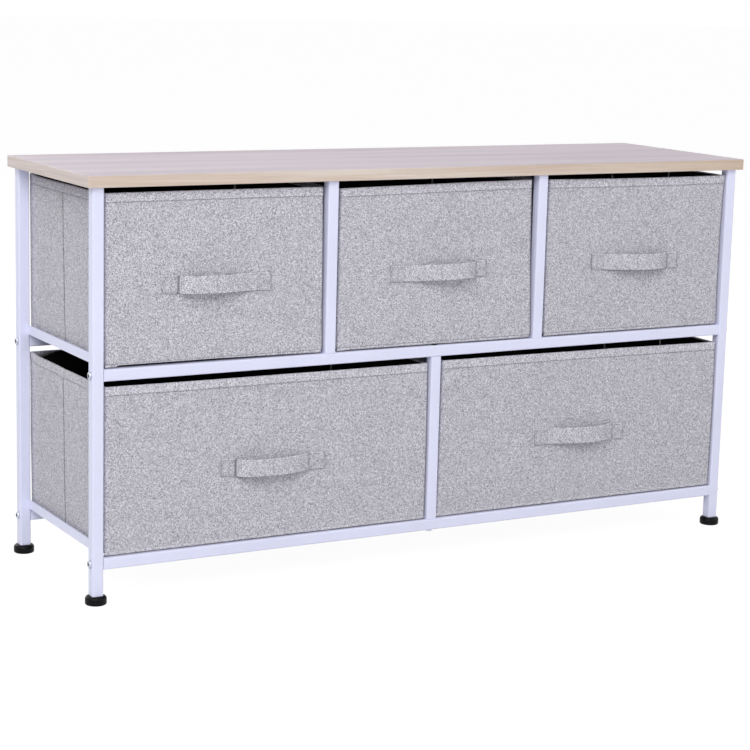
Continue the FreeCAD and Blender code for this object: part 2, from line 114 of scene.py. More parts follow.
# How each strap hangs: the rise of its left end, middle and right end and its shift along X, in
# millimetres; where its crown is, from -1 at the left end of the bow to 1; how steeply it leaves each
# tab, from 0 to 1; the share of its full width that it is folded to; how many millimetres longer than
# the setting each tab is; and how dark the fold at each end is.
# The dark fold at each end is painted shade.
STRAPS = {
    "upper_left": {
        "rise": (2.0, 0.8, -0.5),
        "shift": 0.2,
        "crown": -0.35,
        "steep": (0.9, 0.05),
        "narrow": 0.98,
        "longer": (1.4, 0.0),
        "ends": (0.3, 1.9),
    },
    "upper_middle": {
        "rise": (-0.3, 0.5, 2.1),
        "shift": 1.7,
        "crown": 0.35,
        "steep": (0.05, 0.95),
        "narrow": 0.93,
        "longer": (0.0, 0.0),
        "ends": (0.9, 1.9),
    },
    "upper_right": {
        "rise": (2.4, 0.4, -0.8),
        "shift": -1.5,
        "crown": 0.1,
        "steep": (0.1, 0.6),
        "narrow": 0.96,
        "longer": (0.0, 0.0),
        "ends": (1.8, 1.9),
    },
    "lower_left": {
        "rise": (0.7, -1.4, -1.3),
        "shift": 1.3,
        "crown": -0.3,
        "steep": (0.95, 0.5),
        "narrow": 0.98,
        "longer": (1.2, 4.5),
        "ends": (1.1, 1.9),
    },
    "lower_right": {
        "rise": (-0.9, -0.6, -3.1),
        "shift": -3.2,
        "crown": 0.05,
        "steep": (0.1, 0.35),
        "narrow": 0.98,
        "longer": (0.0, 0.0),
        "ends": (1.0, 1.9),
    },
}
# How far the rims of the left and right walls sag between their corners, in millimetres.
RIM_SAG = {
    "upper_left": (2.1, 3.5),
    "upper_middle": (2.1, 2.7),
    "upper_right": (2.1, -0.4),
    "lower_left": (2.1, 0.5),
    "lower_right": (2.1, 0.4),
}
# The depth and width of the cloth inside the rear left corner, in millimetres: a painted patch of light.
LIT_CORNER_PATCH = {"lower_left": (13.0, 36.0)}
# The height and length of the slow waves in the cloth, in millimetres.
WAVE_HEIGHT = 0.45
WAVE_LENGTH = 75.0
# Where the wave along each axis is read from the noise, so that the three differ.
WAVE_OFFSETS = (Vector((9.3, -1.5, -8.0)), Vector((1.0, 6.2, 3.4)), Vector((-7.1, 4.3, 8.6)))
# The thickness of the cloth under each drawer's lining.
FLOOR_CLOTH = 1.0 * MM


def linear(code):
    """An sRGB hex colour as linear red, green and blue."""
    parts = [int(code[i : i + 2], 16) / 255 for i in (1, 3, 5)]
    return tuple(p / 12.92 if p <= 0.04045 else ((p + 0.055) / 1.055) ** 2.4 for p in parts)


def colour(name, code, description):
    """A colour setting."""
    return FloatVectorProperty(
        name=name, description=description, default=linear(code), subtype="COLOR", size=3, min=0, max=1
    )


def length(name, millimetres, description):
    """A length setting."""
    return FloatProperty(
        name=name, description=description, default=millimetres * MM, unit="LENGTH", min=0, precision=5
    )

def power(name, watts, description):
    """A lamp's power setting."""
    return FloatProperty(name=name, description=description, default=watts, unit="POWER", min=0)


class DresserClothSettings(bpy.types.PropertyGroup):
    """The outer cloth of the drawers and the way that it is sewn."""

    light_yarn: colour("Light yarn", "#EBEAF1", "Colour of the palest fibres in the cloth")
    mid_yarn: colour("Middle yarn", "#BFBDC6", "Colour of most of the cloth")
    dark_yarn: colour("Dark yarn", "#7B7A84", "Colour of the darkest fibres in the cloth")
    thread: colour("Sewing thread", "#97969F", "Colour of the stitches")
    thickness: length("Cloth thickness", 1.0, "Thickness of the outer cloth")
    thread_spacing: length("Thread spacing", 0.95, "Distance between neighbouring yarns of the weave")
    fleck_length: length("Fleck length", 1.2, "Length along a yarn of one light or dark fleck")
    hem_depth: length("Hem depth", 11.9, "Distance from the rim down to the hem's stitches")
    seam_depth: length("Seam depth", 0.55, "How far the stitches pull the cloth in")
    turn_in: length("Turn-in", 0.6, "How far the cloth reaches down inside the rim")


class DresserDrawerSettings(bpy.types.PropertyGroup):
    """The drawers' linings and boards."""

    lining: colour("Lining", "#131213", "Colour of the non-woven lining")
    # The pale lining seams also stand in for glints of light inside the drawers.
    lining_seam_and_glint: colour("Lining seam", "#F2F2F4", "Colour of the overlocked seams inside the drawers")
    greyboard: colour("Greyboard", "#8C8880", "Colour of the stiff panels inside the walls")
    panel_thickness: length("Panel thickness", 2.0, "Thickness of the stiff panels")
    lining_thickness: length("Lining thickness", 0.8, "Thickness of the lining")
    base_thickness: length("Base thickness", 3.0, "Thickness of the loose base board")
    corner_radius: length("Corner radius", 3.0, "Radius of the drawers' upright corners")


class DresserHandleSettings(bpy.types.PropertyGroup):
    """The strap handles."""

    width: length("Strap width", 24.0, "Width of the strap")
    thickness: length("Strap thickness", 2.0, "Thickness of the folded strap")
    tab: length("Tab", 20.6, "Length of each stitched tab")
    bow: length("Bow", 14.0, "How far the middle of the strap stands off the drawer")
    gather: FloatProperty(
        name="Gather",
        description="Share of its width that the bowed middle of the strap loses as its edges curl in",
        default=0.02,
        min=0,
        max=0.5,
        subtype="FACTOR",
    )


class DresserFrameSettings(bpy.types.PropertyGroup):
    """The finishes of the steel frame, the fasteners and the feet."""

    paint: colour("Powder coat", "#E3E5FD", "Colour of the painted steel")
    zinc: colour("Zinc", "#C6CDDA", "Colour of the plated screws")
    black_oxide: colour("Black oxide", "#2A2A2E", "Colour of the blackened screws")
    plastic: colour("Plastic", "#050508", "Colour of the feet and plugs")


class DresserBoardSettings(bpy.types.PropertyGroup):
    """The finish of the top board."""

    top_pale: colour("Top, pale grain", "#D0C5CD", "Palest streaks of the laminate")
    top_dark: colour("Top, dark grain", "#BBAEB8", "Darkest streaks of the laminate")
    edge_pale: colour("Edge, pale grain", "#DBCFC5", "Palest streaks of the front and rear edge bands")
    edge_dark: colour("Edge, dark grain", "#CAB6A7", "Darkest streaks of the front and rear edge bands")
    end_pale: colour("End, pale grain", "#D7CAC5", "Palest streaks of the left and right edge bands")
    end_dark: colour("End, dark grain", "#CABCB7", "Darkest streaks of the left and right edge bands")
    # The tint of a painted shade on the edge bands towards the right end.
    right_end_shade: colour("Right end shade", "#F3EDE3", "Tint that the edge bands take on towards the right end")
    grain_width: length("Grain width", 3.2, "Distance between neighbouring streaks of grain")
    grain_length: length("Grain length", 240.0, "Length of a streak of grain")


class DresserStageSettings(bpy.types.PropertyGroup):
    """The studio round the dresser."""

    floor: colour("Floor", "#E4E4E4", "Colour of the floor")
    sky_strength: FloatProperty(
        name="Sky strength", description="Strength of the even light from all round", default=0.28, min=0
    )
    key_power: power("Key lamp", 89.14, "Power of the large lamp at the front left")
    front_power: power("Front lamp", 9.61, "Power of the lamp beside the camera")
    fill_power: power("Fill lamp", 22.32, "Power of the large lamp at the front right")
    side_power: power("Side lamp", 15.28, "Power of the large lamp at the left")
    top_power: power("Top lamp", 8.41, "Power of the large lamp overhead")
    back_power: power("Back lamp", 30.0, "Power of the large lamp behind the dresser")


class DresserSettings(bpy.types.PropertyGroup):
    """All settings of the dresser."""

    cloth: PointerProperty(type=DresserClothSettings)
    drawer: PointerProperty(type=DresserDrawerSettings)
    handle: PointerProperty(type=DresserHandleSettings)
    frame: PointerProperty(type=DresserFrameSettings)
    board: PointerProperty(type=DresserBoardSettings)
    stage: PointerProperty(type=DresserStageSettings)


# Materials


def add(tree, kind, sockets=None, stops=None, **settings):
    """Adds a node. Settings are its own properties; sockets take a value or the output that feeds them."""
    new = tree.nodes.new(kind)
    for name, value in settings.items():
        setattr(new, name, value)
    for name, value in (sockets or {}).items():
        if isinstance(value, bpy.types.NodeSocket):
            tree.links.new(value, new.inputs[name])
        else:
            new.inputs[name].default_value = value
    for index, (position, shade) in enumerate(stops or []):
        elements = new.color_ramp.elements
        element = elements[index] if index < 2 else elements.new(position)
        element.position = position
        element.color = (*shade, 1)
    return new


def blank_material(name, shade):
    """A new material with a Principled shader, and the node tree and shader to work on."""
    material = bpy.data.materials.new(name)
    material.use_nodes = True
    material.diffuse_color = (*shade, 1)
    tree = material.node_tree
    shader = tree.nodes["Principled BSDF"]
    return material, tree, shader


def feed(tree, shader, **links):
    """Links outputs to the shader's sockets; underscores stand for spaces."""
    for name, output in links.items():
        tree.links.new(output, shader.inputs[name.replace("_", " ")])


def powder_coated_steel(settings):
    """Steel tube under a baked powder coat: an even lavender white with a faint orange peel."""
    material, tree, shader = blank_material("powder_coated_steel", settings.paint)
    place = add(tree, "ShaderNodeTexCoord").outputs["Object"]
    # The coat is a touch thicker in places, which the eye reads as a slow change of tone.
    cloud = add(tree, "ShaderNodeTexNoise", {"Vector": place, "Scale": 1 / (90 * MM), "Detail": 2.0})
    dim = tuple(c * 0.965 for c in settings.paint)
    tone = add(
        tree,
        "ShaderNodeValToRGB",
        {"Fac": cloud.outputs["Fac"]},
        stops=[(0.35, dim), (0.65, tuple(settings.paint))],
    )
    # Orange peel: low rounded ripples about 2 mm apart.
    peel = add(tree, "ShaderNodeTexNoise", {"Vector": place, "Scale": 1 / (2.2 * MM), "Detail": 1.0})
    bump = add(
        tree, "ShaderNodeBump", {"Height": peel.outputs["Fac"], "Distance": 0.03 * MM, "Strength": 0.5}
    )
    gloss = add(
        tree,
        "ShaderNodeMapRange",
        {"Value": peel.outputs["Fac"], "From Min": 0.3, "From Max": 0.7, "To Min": 0.36, "To Max": 0.44},
    )
    feed(
        tree,
        shader,
        Base_Color=tone.outputs["Color"],
        Roughness=gloss.outputs["Result"],
        Normal=bump.outputs["Normal"],
    )
    shader.inputs["IOR"].default_value = 1.5
    return material


def plated_steel(name, shade, roughness, recess_shade=None):
    """Plated screw steel: bare metal shine broken by the fine marks of tumbling in the plating bath."""
    material, tree, shader = blank_material(name, shade)
    place = add(tree, "ShaderNodeTexCoord").outputs["Object"]
    marks = add(
        tree,
        "ShaderNodeTexNoise",
        {"Vector": place, "Scale": 1 / (0.9 * MM), "Detail": 4.0, "Roughness": 0.7},
    )
    dim = tuple(c * 0.72 for c in shade)
    tone = add(
        tree, "ShaderNodeValToRGB", {"Fac": marks.outputs["Fac"]}, stops=[(0.35, dim), (0.62, tuple(shade))]
    )
    gloss = add(
        tree,
        "ShaderNodeMapRange",
        {
            "Value": marks.outputs["Fac"],
            "From Min": 0.3,
            "From Max": 0.7,
            "To Min": roughness + 0.08,
            "To Max": roughness - 0.06,
        },
    )
    bump = add(
        tree, "ShaderNodeBump", {"Height": marks.outputs["Fac"], "Distance": 0.03 * MM, "Strength": 0.4}
    )
    colour_out = tone.outputs["Color"]
    if recess_shade:
        # Painted shade darkens the middle of each bolt's head, where the driver's cross lies in shadow.
        middle_y, low_z, step_z = recess_shade
        axes = add(tree, "ShaderNodeSeparateXYZ", {"Vector": place})
        across = add(tree, "ShaderNodeMath", {0: axes.outputs["Y"]}, operation="ABSOLUTE")
        off_y = add(tree, "ShaderNodeMath", {0: across.outputs[0], 1: middle_y}, operation="SUBTRACT")
        up = add(tree, "ShaderNodeMath", {0: axes.outputs["Z"], 1: low_z}, operation="SUBTRACT")
        off_z = add(tree, "ShaderNodeMath", {0: up.outputs[0], 1: step_z}, operation="PINGPONG")
        off = add(tree, "ShaderNodeCombineXYZ", {"X": off_y.outputs[0], "Y": off_z.outputs[0]})
        reach = add(tree, "ShaderNodeVectorMath", {0: off.outputs[0]}, operation="LENGTH")
        inside = add(
            tree,
            "ShaderNodeMapRange",
            {"Value": reach.outputs["Value"], "From Min": 2.6 * MM, "From Max": 1.9 * MM},
        )
        dark = add(
            tree,
            "ShaderNodeMix",
            {0: inside.outputs["Result"], 6: colour_out, 7: (*linear("#2B2D3C"), 1)},
            data_type="RGBA",
        )
        colour_out = dark.outputs[2]
    feed(
        tree,
        shader,
        Base_Color=colour_out,
        Roughness=gloss.outputs["Result"],
        Normal=bump.outputs["Normal"],
    )
    shader.inputs["Metallic"].default_value = 1.0
    return material


def moulded_plastic(settings, with_stem):
    """Injection-moulded black polypropylene, satin with a fine spark texture; a foot's stem is zinc."""
    name = "moulded_foot" if with_stem else "moulded_plug"
    material, tree, shader = blank_material(name, settings.plastic)
    place = add(tree, "ShaderNodeTexCoord").outputs["Object"]
    grain = add(
        tree,
        "ShaderNodeTexNoise",
        {"Vector": place, "Scale": 1 / (0.6 * MM), "Detail": 3.0, "Roughness": 0.6},
    )
    pale = tuple(min(1.0, c * 1.8 + 0.001) for c in settings.plastic)
    tone = add(
        tree,
        "ShaderNodeValToRGB",
        {"Fac": grain.outputs["Fac"]},
        stops=[(0.35, tuple(settings.plastic)), (0.75, pale)],
    )
    gloss = add(
        tree,
        "ShaderNodeMapRange",
        {"Value": grain.outputs["Fac"], "From Min": 0.3, "From Max": 0.7, "To Min": 0.34, "To Max": 0.5},
    )
    bump = add(
        tree, "ShaderNodeBump", {"Height": grain.outputs["Fac"], "Distance": 0.05 * MM, "Strength": 0.5}
    )
    shader.inputs["Specular IOR Level"].default_value = 0.12
    if not with_stem:
        feed(
            tree,
            shader,
            Base_Color=tone.outputs["Color"],
            Roughness=gloss.outputs["Result"],
            Normal=bump.outputs["Normal"],
        )
        return material
    # Above the pad the foot is a zinc-plated screw: rolled thread ridges 1 mm apart.
    height = add(tree, "ShaderNodeSeparateXYZ", {"Vector": place}).outputs["Z"]
    is_stem = add(tree, "ShaderNodeMath", {0: height, 1: 11.25 * MM}, operation="GREATER_THAN")
    turns = add(tree, "ShaderNodeMath", {0: height, 1: 2 * math.pi / (1.0 * MM)}, operation="MULTIPLY")
    ridge = add(tree, "ShaderNodeMath", {0: turns.outputs[0]}, operation="SINE")
    thread = add(
        tree,
        "ShaderNodeBump",
        {"Height": ridge.outputs[0], "Distance": 0.2 * MM, "Normal": bump.outputs["Normal"]},
    )
    normal = add(
        tree,
        "ShaderNodeMix",
        {0: is_stem.outputs[0], 4: bump.outputs["Normal"], 5: thread.outputs["Normal"]},
        data_type="VECTOR",
    )
    shade = add(
        tree,
        "ShaderNodeMix",
        {0: is_stem.outputs[0], 6: tone.outputs["Color"], 7: (*settings.zinc, 1)},
        data_type="RGBA",
    )
    feed(
        tree,
        shader,
        Base_Color=shade.outputs[2],
        Metallic=is_stem.outputs[0],
        Roughness=gloss.outputs["Result"],
        Normal=normal.outputs[1],
    )
    return material


def wood_grain_laminate(settings):
    """Particle board under printed ash paper, with a warmer ABS band round its edges."""
    material, tree, shader = blank_material("wood_grain_laminate", settings.top_pale)
    place = add(tree, "ShaderNodeTexCoord").outputs["Object"]
    axes = add(tree, "ShaderNodeSeparateXYZ", {"Vector": place})
    # The grain runs along X. A slow wander bends it, as a tree's rings do.
    wander = add(tree, "ShaderNodeTexNoise", {"Vector": place, "Scale": 1 / (260 * MM), "Detail": 1.0})
    bend = add(
        tree, "ShaderNodeVectorMath", {0: wander.outputs["Color"], "Scale": 14 * MM}, operation="SCALE"
    )
    bent = add(tree, "ShaderNodeVectorMath", {0: place, 1: bend.outputs[0]}, operation="ADD")
    along, across = 1 / settings.grain_length, 1 / settings.grain_width
    stretched = add(
        tree, "ShaderNodeMapping", {"Vector": bent.outputs[0], "Scale": (along, across, across)}
    )
    streaks = add(
        tree,
        "ShaderNodeTexNoise",
        {"Vector": stretched.outputs[0], "Scale": 1.0, "Detail": 3.0, "Roughness": 0.6},
    )
    # Broad bands, about 35 mm wide, where the rings lie closer together.
    broad = add(
        tree,
        "ShaderNodeMapping",
        {"Vector": bent.outputs[0], "Scale": (along * 0.5, 1 / (35 * MM), 1 / (35 * MM))},
    )
    bands = add(tree, "ShaderNodeTexNoise", {"Vector": broad.outputs[0], "Scale": 1.0, "Detail": 1.0})
    grain = add(
        tree,
        "ShaderNodeMix",
        {0: 0.45, 2: streaks.outputs["Fac"], 3: bands.outputs["Fac"]},
        data_type="FLOAT",
    )
    top = add(
        tree,
        "ShaderNodeValToRGB",
        {"Fac": grain.outputs[0]},
        stops=[(0.38, tuple(settings.top_dark)), (0.6, tuple(settings.top_pale))],
    )
    edge = add(
        tree,
        "ShaderNodeValToRGB",
        {"Fac": grain.outputs[0]},
        stops=[(0.38, tuple(settings.edge_dark)), (0.6, tuple(settings.edge_pale))],
    )
    # At the ends the grain of the band runs along Y.
    turned = add(
        tree, "ShaderNodeMapping", {"Vector": bent.outputs[0], "Scale": (across, along, across)}
    )
    end_streaks = add(
        tree,
        "ShaderNodeTexNoise",
        {"Vector": turned.outputs[0], "Scale": 1.0, "Detail": 3.0, "Roughness": 0.6},
    )
    end = add(
        tree,
        "ShaderNodeValToRGB",
        {"Fac": end_streaks.outputs["Fac"]},
        stops=[(0.38, tuple(settings.end_dark)), (0.6, tuple(settings.end_pale))],
    )
    # The band covers the four upright edges, between the laminates above and below.
    low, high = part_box("top_board")
    outward = add(tree, "ShaderNodeMath", {0: axes.outputs["X"]}, operation="ABSOLUTE")
    at_end = add(
        tree,
        "ShaderNodeMath",
        {0: outward.outputs[0], 1: high.x - 0.4 * MM},
        operation="GREATER_THAN",
    )
    band = add(
        tree,
        "ShaderNodeMix",
        {0: at_end.outputs[0], 6: edge.outputs["Color"], 7: end.outputs["Color"]},
        data_type="RGBA",
    )
    # Painted shade: the band darkens and yellows towards the right end, where less light falls.
    right_end_shade = add(
        tree,
        "ShaderNodeMapRange",
        {"Value": axes.outputs["X"], "From Min": 0.1 * high.x, "From Max": high.x},
    )
    right_shaded_band = add(
        tree,
        "ShaderNodeMix",
        {0: right_end_shade.outputs["Result"], 6: band.outputs[2], 7: (*settings.right_end_shade, 1)},
        data_type="RGBA",
        blend_type="MULTIPLY",
    )
    above = add(
        tree,
        "ShaderNodeMath",
        {0: axes.outputs["Z"], 1: high.z - 0.5 * MM},
        operation="LESS_THAN",
    )
    below = add(
        tree,
        "ShaderNodeMath",
        {0: axes.outputs["Z"], 1: low.z + 0.2 * MM},
        operation="GREATER_THAN",
    )
    on_edge = add(
        tree,
        "ShaderNodeMath",
        {0: above.outputs[0], 1: below.outputs[0]},
        operation="MULTIPLY",
    )
    shade = add(
        tree,
        "ShaderNodeMix",
        {0: on_edge.outputs[0], 6: top.outputs["Color"], 7: right_shaded_band.outputs[2]},
        data_type="RGBA",
    )
    # Pores: short dark dashes, pressed into the paper so that they catch the light.
    fine = add(
        tree,
        "ShaderNodeMapping",
        {"Vector": bent.outputs[0], "Scale": (1 / (9 * MM), 1 / (0.7 * MM), 1 / (0.7 * MM))},
    )
    pores = add(tree, "ShaderNodeTexNoise", {"Vector": fine.outputs[0], "Scale": 1.0, "Detail": 1.0})
    pore = add(
        tree,
        "ShaderNodeMapRange",
        {"Value": pores.outputs["Fac"], "From Min": 0.62, "From Max": 0.72, "To Min": 0.0, "To Max": 0.10},
    )
    pored = add(
        tree,
        "ShaderNodeMix",
        {0: pore.outputs["Result"], 6: shade.outputs[2], 7: (*linear("#8A7568"), 1)},
        data_type="RGBA",
    )
    bump = add(
        tree,
        "ShaderNodeBump",
        {"Height": pore.outputs["Result"], "Distance": 0.06 * MM, "Strength": 0.5},
        invert=True,
    )
    gloss = add(
        tree,
        "ShaderNodeMapRange",
        {"Value": streaks.outputs["Fac"], "From Min": 0.3, "From Max": 0.7, "To Min": 0.42, "To Max": 0.54},
    )
    feed(
        tree,
        shader,
        Base_Color=pored.outputs[2],
        Roughness=gloss.outputs["Result"],
        Normal=bump.outputs["Normal"],
    )
    shader.inputs["IOR"].default_value = 1.48
    return material


def heathered_linen(settings):
    """Plain-woven polyester linen: pale and dark fibres spun together into a salt-and-pepper grey."""
    material, tree, shader = blank_material("heathered_linen", settings.mid_yarn)
    weave = add(tree, "ShaderNodeUVMap", uv_map="weave").outputs["UV"]
    axes = add(tree, "ShaderNodeSeparateXYZ", {"Vector": weave})
    # The real yarns are about 0.6 mm apart; they are drawn coarser so that they show.
    yarns = {}
    for name, axis in (("warp", "X"), ("weft", "Y")):
        count = add(
            tree,
            "ShaderNodeMath",
            {0: axes.outputs[axis], 1: settings.thread_spacing},
            operation="DIVIDE",
        )
        index = add(tree, "ShaderNodeMath", {0: count.outputs[0]}, operation="FLOOR")
        part = add(tree, "ShaderNodeMath", {0: count.outputs[0]}, operation="FRACT")
        yarns[name] = (index.outputs[0], part.outputs[0])
    flecks = {}
    for name, index, run in (
        ("warp", yarns["warp"][0], axes.outputs["Y"]),
        ("weft", yarns["weft"][0], axes.outputs["X"]),
    ):
        step = add(tree, "ShaderNodeMath", {0: index, 1: 7.31}, operation="MULTIPLY")
        way = add(tree, "ShaderNodeMath", {0: run, 1: settings.fleck_length}, operation="DIVIDE")
        spot = add(
            tree,
            "ShaderNodeCombineXYZ",
            {"X": way.outputs[0], "Y": step.outputs[0], "Z": 3.7 if name == "warp" else 11.3},
        )
        flecks[name] = add(
            tree,
            "ShaderNodeTexNoise",
            {"Vector": spot.outputs[0], "Scale": 1.0, "Detail": 2.0, "Roughness": 0.7},
        ).outputs["Fac"]
    total = add(tree, "ShaderNodeMath", {0: yarns["warp"][0], 1: yarns["weft"][0]}, operation="ADD")
    half = add(tree, "ShaderNodeMath", {0: total.outputs[0], 1: 0.5}, operation="MULTIPLY")
    left_over = add(tree, "ShaderNodeMath", {0: half.outputs[0]}, operation="FRACT")
    warp_on_top = add(
        tree,
        "ShaderNodeMath",
        {0: left_over.outputs[0], 1: 0.25},
        operation="GREATER_THAN",
    )
    run = add(
        tree,
        "ShaderNodeMix",
        {0: warp_on_top.outputs[0], 2: flecks["weft"], 3: flecks["warp"]},
        data_type="FLOAT",
    )
    # Where one yarn comes up between two others, the fibres on top differ from its neighbours'.
    crossing = add(tree, "ShaderNodeCombineXYZ", {"X": yarns["warp"][0], "Y": yarns["weft"][0]})
    own = add(tree, "ShaderNodeTexWhiteNoise", {"Vector": crossing.outputs[0]}, noise_dimensions="2D")
    fleck = add(
        tree,
        "ShaderNodeMath",
        {0: own.outputs["Value"], 1: 0.4, 2: run.outputs[0]},
        operation="MULTIPLY_ADD",
    )
    tone = add(
        tree,
        "ShaderNodeValToRGB",
        {"Fac": fleck.outputs[0]},
        stops=[
            (0.45, tuple(settings.dark_yarn)),
            (0.95, tuple(settings.light_yarn)),
            (0.70, tuple(settings.mid_yarn)),
        ],
    )
    # Slow clouding, as the mix of fibres changes along the yarn.
    cloud = add(tree, "ShaderNodeTexNoise", {"Vector": weave, "Scale": 1 / (22 * MM), "Detail": 2.0})
    cloudy = add(
        tree,
        "ShaderNodeMapRange",
        {"Value": cloud.outputs["Fac"], "From Min": 0.3, "From Max": 0.7, "To Min": 0.975, "To Max": 1.025},
    )
    # Painted shade darkens the cloth where the stitches pull it in, and in its shaded folds and corners;
    # a painted highlight lightens the folded edge above them.
    crease = add(tree, "ShaderNodeAttribute", attribute_name="crease").outputs["Fac"]
    ridge = add(tree, "ShaderNodeAttribute", attribute_name="ridge").outputs["Fac"]
    darker = add(
        tree,
        "ShaderNodeMath",
        {0: crease, 1: -0.34, 2: cloudy.outputs["Result"]},
        operation="MULTIPLY_ADD",
    )
    gain = add(tree, "ShaderNodeMath", {0: ridge, 1: 0.2, 2: darker.outputs[0]}, operation="MULTIPLY_ADD")
    shade = add(
        tree,
        "ShaderNodeVectorMath",
        {0: tone.outputs["Color"], "Scale": gain.outputs[0]},
        operation="SCALE",
    )
    # Each yarn is round, and dips where it goes under the next.
    hills = []
    for part in (yarns["warp"][1], yarns["weft"][1]):
        turn = add(tree, "ShaderNodeMath", {0: part, 1: math.pi}, operation="MULTIPLY")
        hills.append(add(tree, "ShaderNodeMath", {0: turn.outputs[0]}, operation="SINE").outputs[0])
    relief = add(
        tree, "ShaderNodeMix", {0: warp_on_top.outputs[0], 2: hills[1], 3: hills[0]}, data_type="FLOAT"
    )
    height = add(
        tree,
        "ShaderNodeMath",
        {0: fleck.outputs[0], 1: 0.8, 2: relief.outputs[0]},
        operation="MULTIPLY_ADD",
    )
    bump = add(
        tree,
        "ShaderNodeBump",
        {"Height": height.outputs[0], "Distance": 0.16 * MM, "Strength": 0.6},
    )
    feed(tree, shader, Base_Color=shade.outputs[0], Normal=bump.outputs["Normal"])
    shader.inputs["Roughness"].default_value = 0.9
    shader.inputs["Specular IOR Level"].default_value = 0.25
    shader.inputs["Sheen Weight"].default_value = 0.15
    shader.inputs["Sheen Roughness"].default_value = 0.5
    return material


def spunbond_lining(settings):
    """Black spunbond polypropylene: a felt of fine fibres, spot-welded in rows of small dimples."""
    material, tree, shader = blank_material("spunbond_lining", settings.lining)
    place = add(tree, "ShaderNodeTexCoord").outputs["Object"]
    dimples = add(
        tree,
        "ShaderNodeTexVoronoi",
        {"Vector": place, "Scale": 1 / (1.8 * MM), "Randomness": 0.25},
    )
    fibres = add(
        tree,
        "ShaderNodeTexNoise",
        {"Vector": place, "Scale": 1 / (0.7 * MM), "Detail": 4.0, "Roughness": 0.75},
    )
    pale = tuple(c * 1.9 + 0.003 for c in settings.lining)
    tone = add(
        tree,
        "ShaderNodeValToRGB",
        {"Fac": fibres.outputs["Fac"]},
        stops=[(0.35, tuple(settings.lining)), (0.7, pale)],
    )
    height = add(
        tree,
        "ShaderNodeMath",
        {0: fibres.outputs["Fac"], 1: 0.5, 2: dimples.outputs["Distance"]},
        operation="MULTIPLY_ADD",
    )
    bump = add(
        tree,
        "ShaderNodeBump",
        {"Height": height.outputs[0], "Distance": 0.15 * MM, "Strength": 0.6},
    )
    feed(tree, shader, Base_Color=tone.outputs["Color"], Normal=bump.outputs["Normal"])
    shader.inputs["Roughness"].default_value = 0.9
    shader.inputs["Specular IOR Level"].default_value = 0.1
    return material


def greyboard(settings):
    """Pressed greyboard: matt, with specks of pulp."""
    material, tree, shader = blank_material("greyboard", settings.greyboard)
    place = add(tree, "ShaderNodeTexCoord").outputs["Object"]
    pulp = add(
        tree,
        "ShaderNodeTexNoise",
        {"Vector": place, "Scale": 1 / (1.5 * MM), "Detail": 5.0, "Roughness": 0.7},
    )
    dim = tuple(c * 0.7 for c in settings.greyboard)
    tone = add(
        tree,
        "ShaderNodeValToRGB",
        {"Fac": pulp.outputs["Fac"]},
        stops=[(0.3, dim), (0.62, tuple(settings.greyboard))],
    )
    bump = add(
        tree,
        "ShaderNodeBump",
        {"Height": pulp.outputs["Fac"], "Distance": 0.1 * MM, "Strength": 0.5},
    )
    feed(tree, shader, Base_Color=tone.outputs["Color"], Normal=bump.outputs["Normal"])
    shader.inputs["Roughness"].default_value = 0.9
    return material


def polyester_thread(name, shade):
    """Spun polyester sewing thread: a soft shine broken by its twist."""
    material, tree, shader = blank_material(name, shade)
    place = add(tree, "ShaderNodeTexCoord").outputs["Object"]
    twist = add(
        tree,
        "ShaderNodeTexNoise",
        {"Vector": place, "Scale": 1 / (0.5 * MM), "Detail": 2.0, "Roughness": 0.6},
    )
    dim = tuple(c * 0.7 for c in shade)
    tone = add(
        tree, "ShaderNodeValToRGB", {"Fac": twist.outputs["Fac"]}, stops=[(0.35, dim), (0.65, tuple(shade))]
    )
    bump = add(
        tree,
        "ShaderNodeBump",
        {"Height": twist.outputs["Fac"], "Distance": 0.1 * MM, "Strength": 0.5},
    )
    feed(tree, shader, Base_Color=tone.outputs["Color"], Normal=bump.outputs["Normal"])
    shader.inputs["Roughness"].default_value = 0.6
    return material


def studio_floor(settings):
    """A seamless paper sweep: pale, and white to the eye, with the dresser's shadow left on it."""
    material = bpy.data.materials.new("studio_paper")
    material.use_nodes = True
    tree = material.node_tree
    tree.nodes.clear()
    place = add(tree, "ShaderNodeTexCoord").outputs["Object"]
    tooth = add(tree, "ShaderNodeTexNoise", {"Vector": place, "Scale": 1 / (4 * MM), "Detail": 2.0})
    bump = add(
        tree,
        "ShaderNodeBump",
        {"Height": tooth.outputs["Fac"], "Distance": 0.02 * MM, "Strength": 0.2},
    )
    plain = add(
        tree,
        "ShaderNodeBsdfDiffuse",
        {"Color": (*settings.floor, 1), "Normal": bump.outputs["Normal"]},
    )
    catcher = add(tree, "ShaderNodeBsdfDiffuse", {"Color": (0.13, 0.13, 0.13, 1)})
    glow = add(tree, "ShaderNodeEmission", {"Color": (1, 1, 1, 1), "Strength": 0.95})
    white = add(tree, "ShaderNodeAddShader", {0: catcher.outputs[0], 1: glow.outputs[0]})
    seen = seen_directly(tree)
    both = add(tree, "ShaderNodeMixShader", {0: seen, 1: plain.outputs[0], 2: white.outputs[0]})
    add(tree, "ShaderNodeOutputMaterial", {"Surface": both.outputs[0]})
    return material


def seen_directly(tree):
    """One where a ray comes from the camera, or by way of metal or glass, and zero for other light."""
    rays = add(tree, "ShaderNodeLightPath").outputs
    some = add(
        tree,
        "ShaderNodeMath",
        {0: rays["Is Camera Ray"], 1: rays["Is Glossy Ray"]},
        operation="MAXIMUM",
    )
    both = add(
        tree,
        "ShaderNodeMath",
        {0: some.outputs[0], 1: rays["Is Transmission Ray"]},
        operation="MAXIMUM",
    )
    return both.outputs[0]


# Pieces


def piece(bm, name, material, body, stands_for=(), smooth=True):
    """Makes a finished bmesh an object that rides on a body."""
    mesh = bpy.data.meshes.new(name)
    for face in bm.faces:
        face.smooth = smooth
    bm.to_mesh(mesh)
    bm.free()
    mesh.materials.append(material)
    made = bpy.data.objects.new(name, mesh)
    bpy.context.scene.collection.objects.link(made)
    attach(made, body)
    if stands_for:
        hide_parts(*stands_for)
    return made


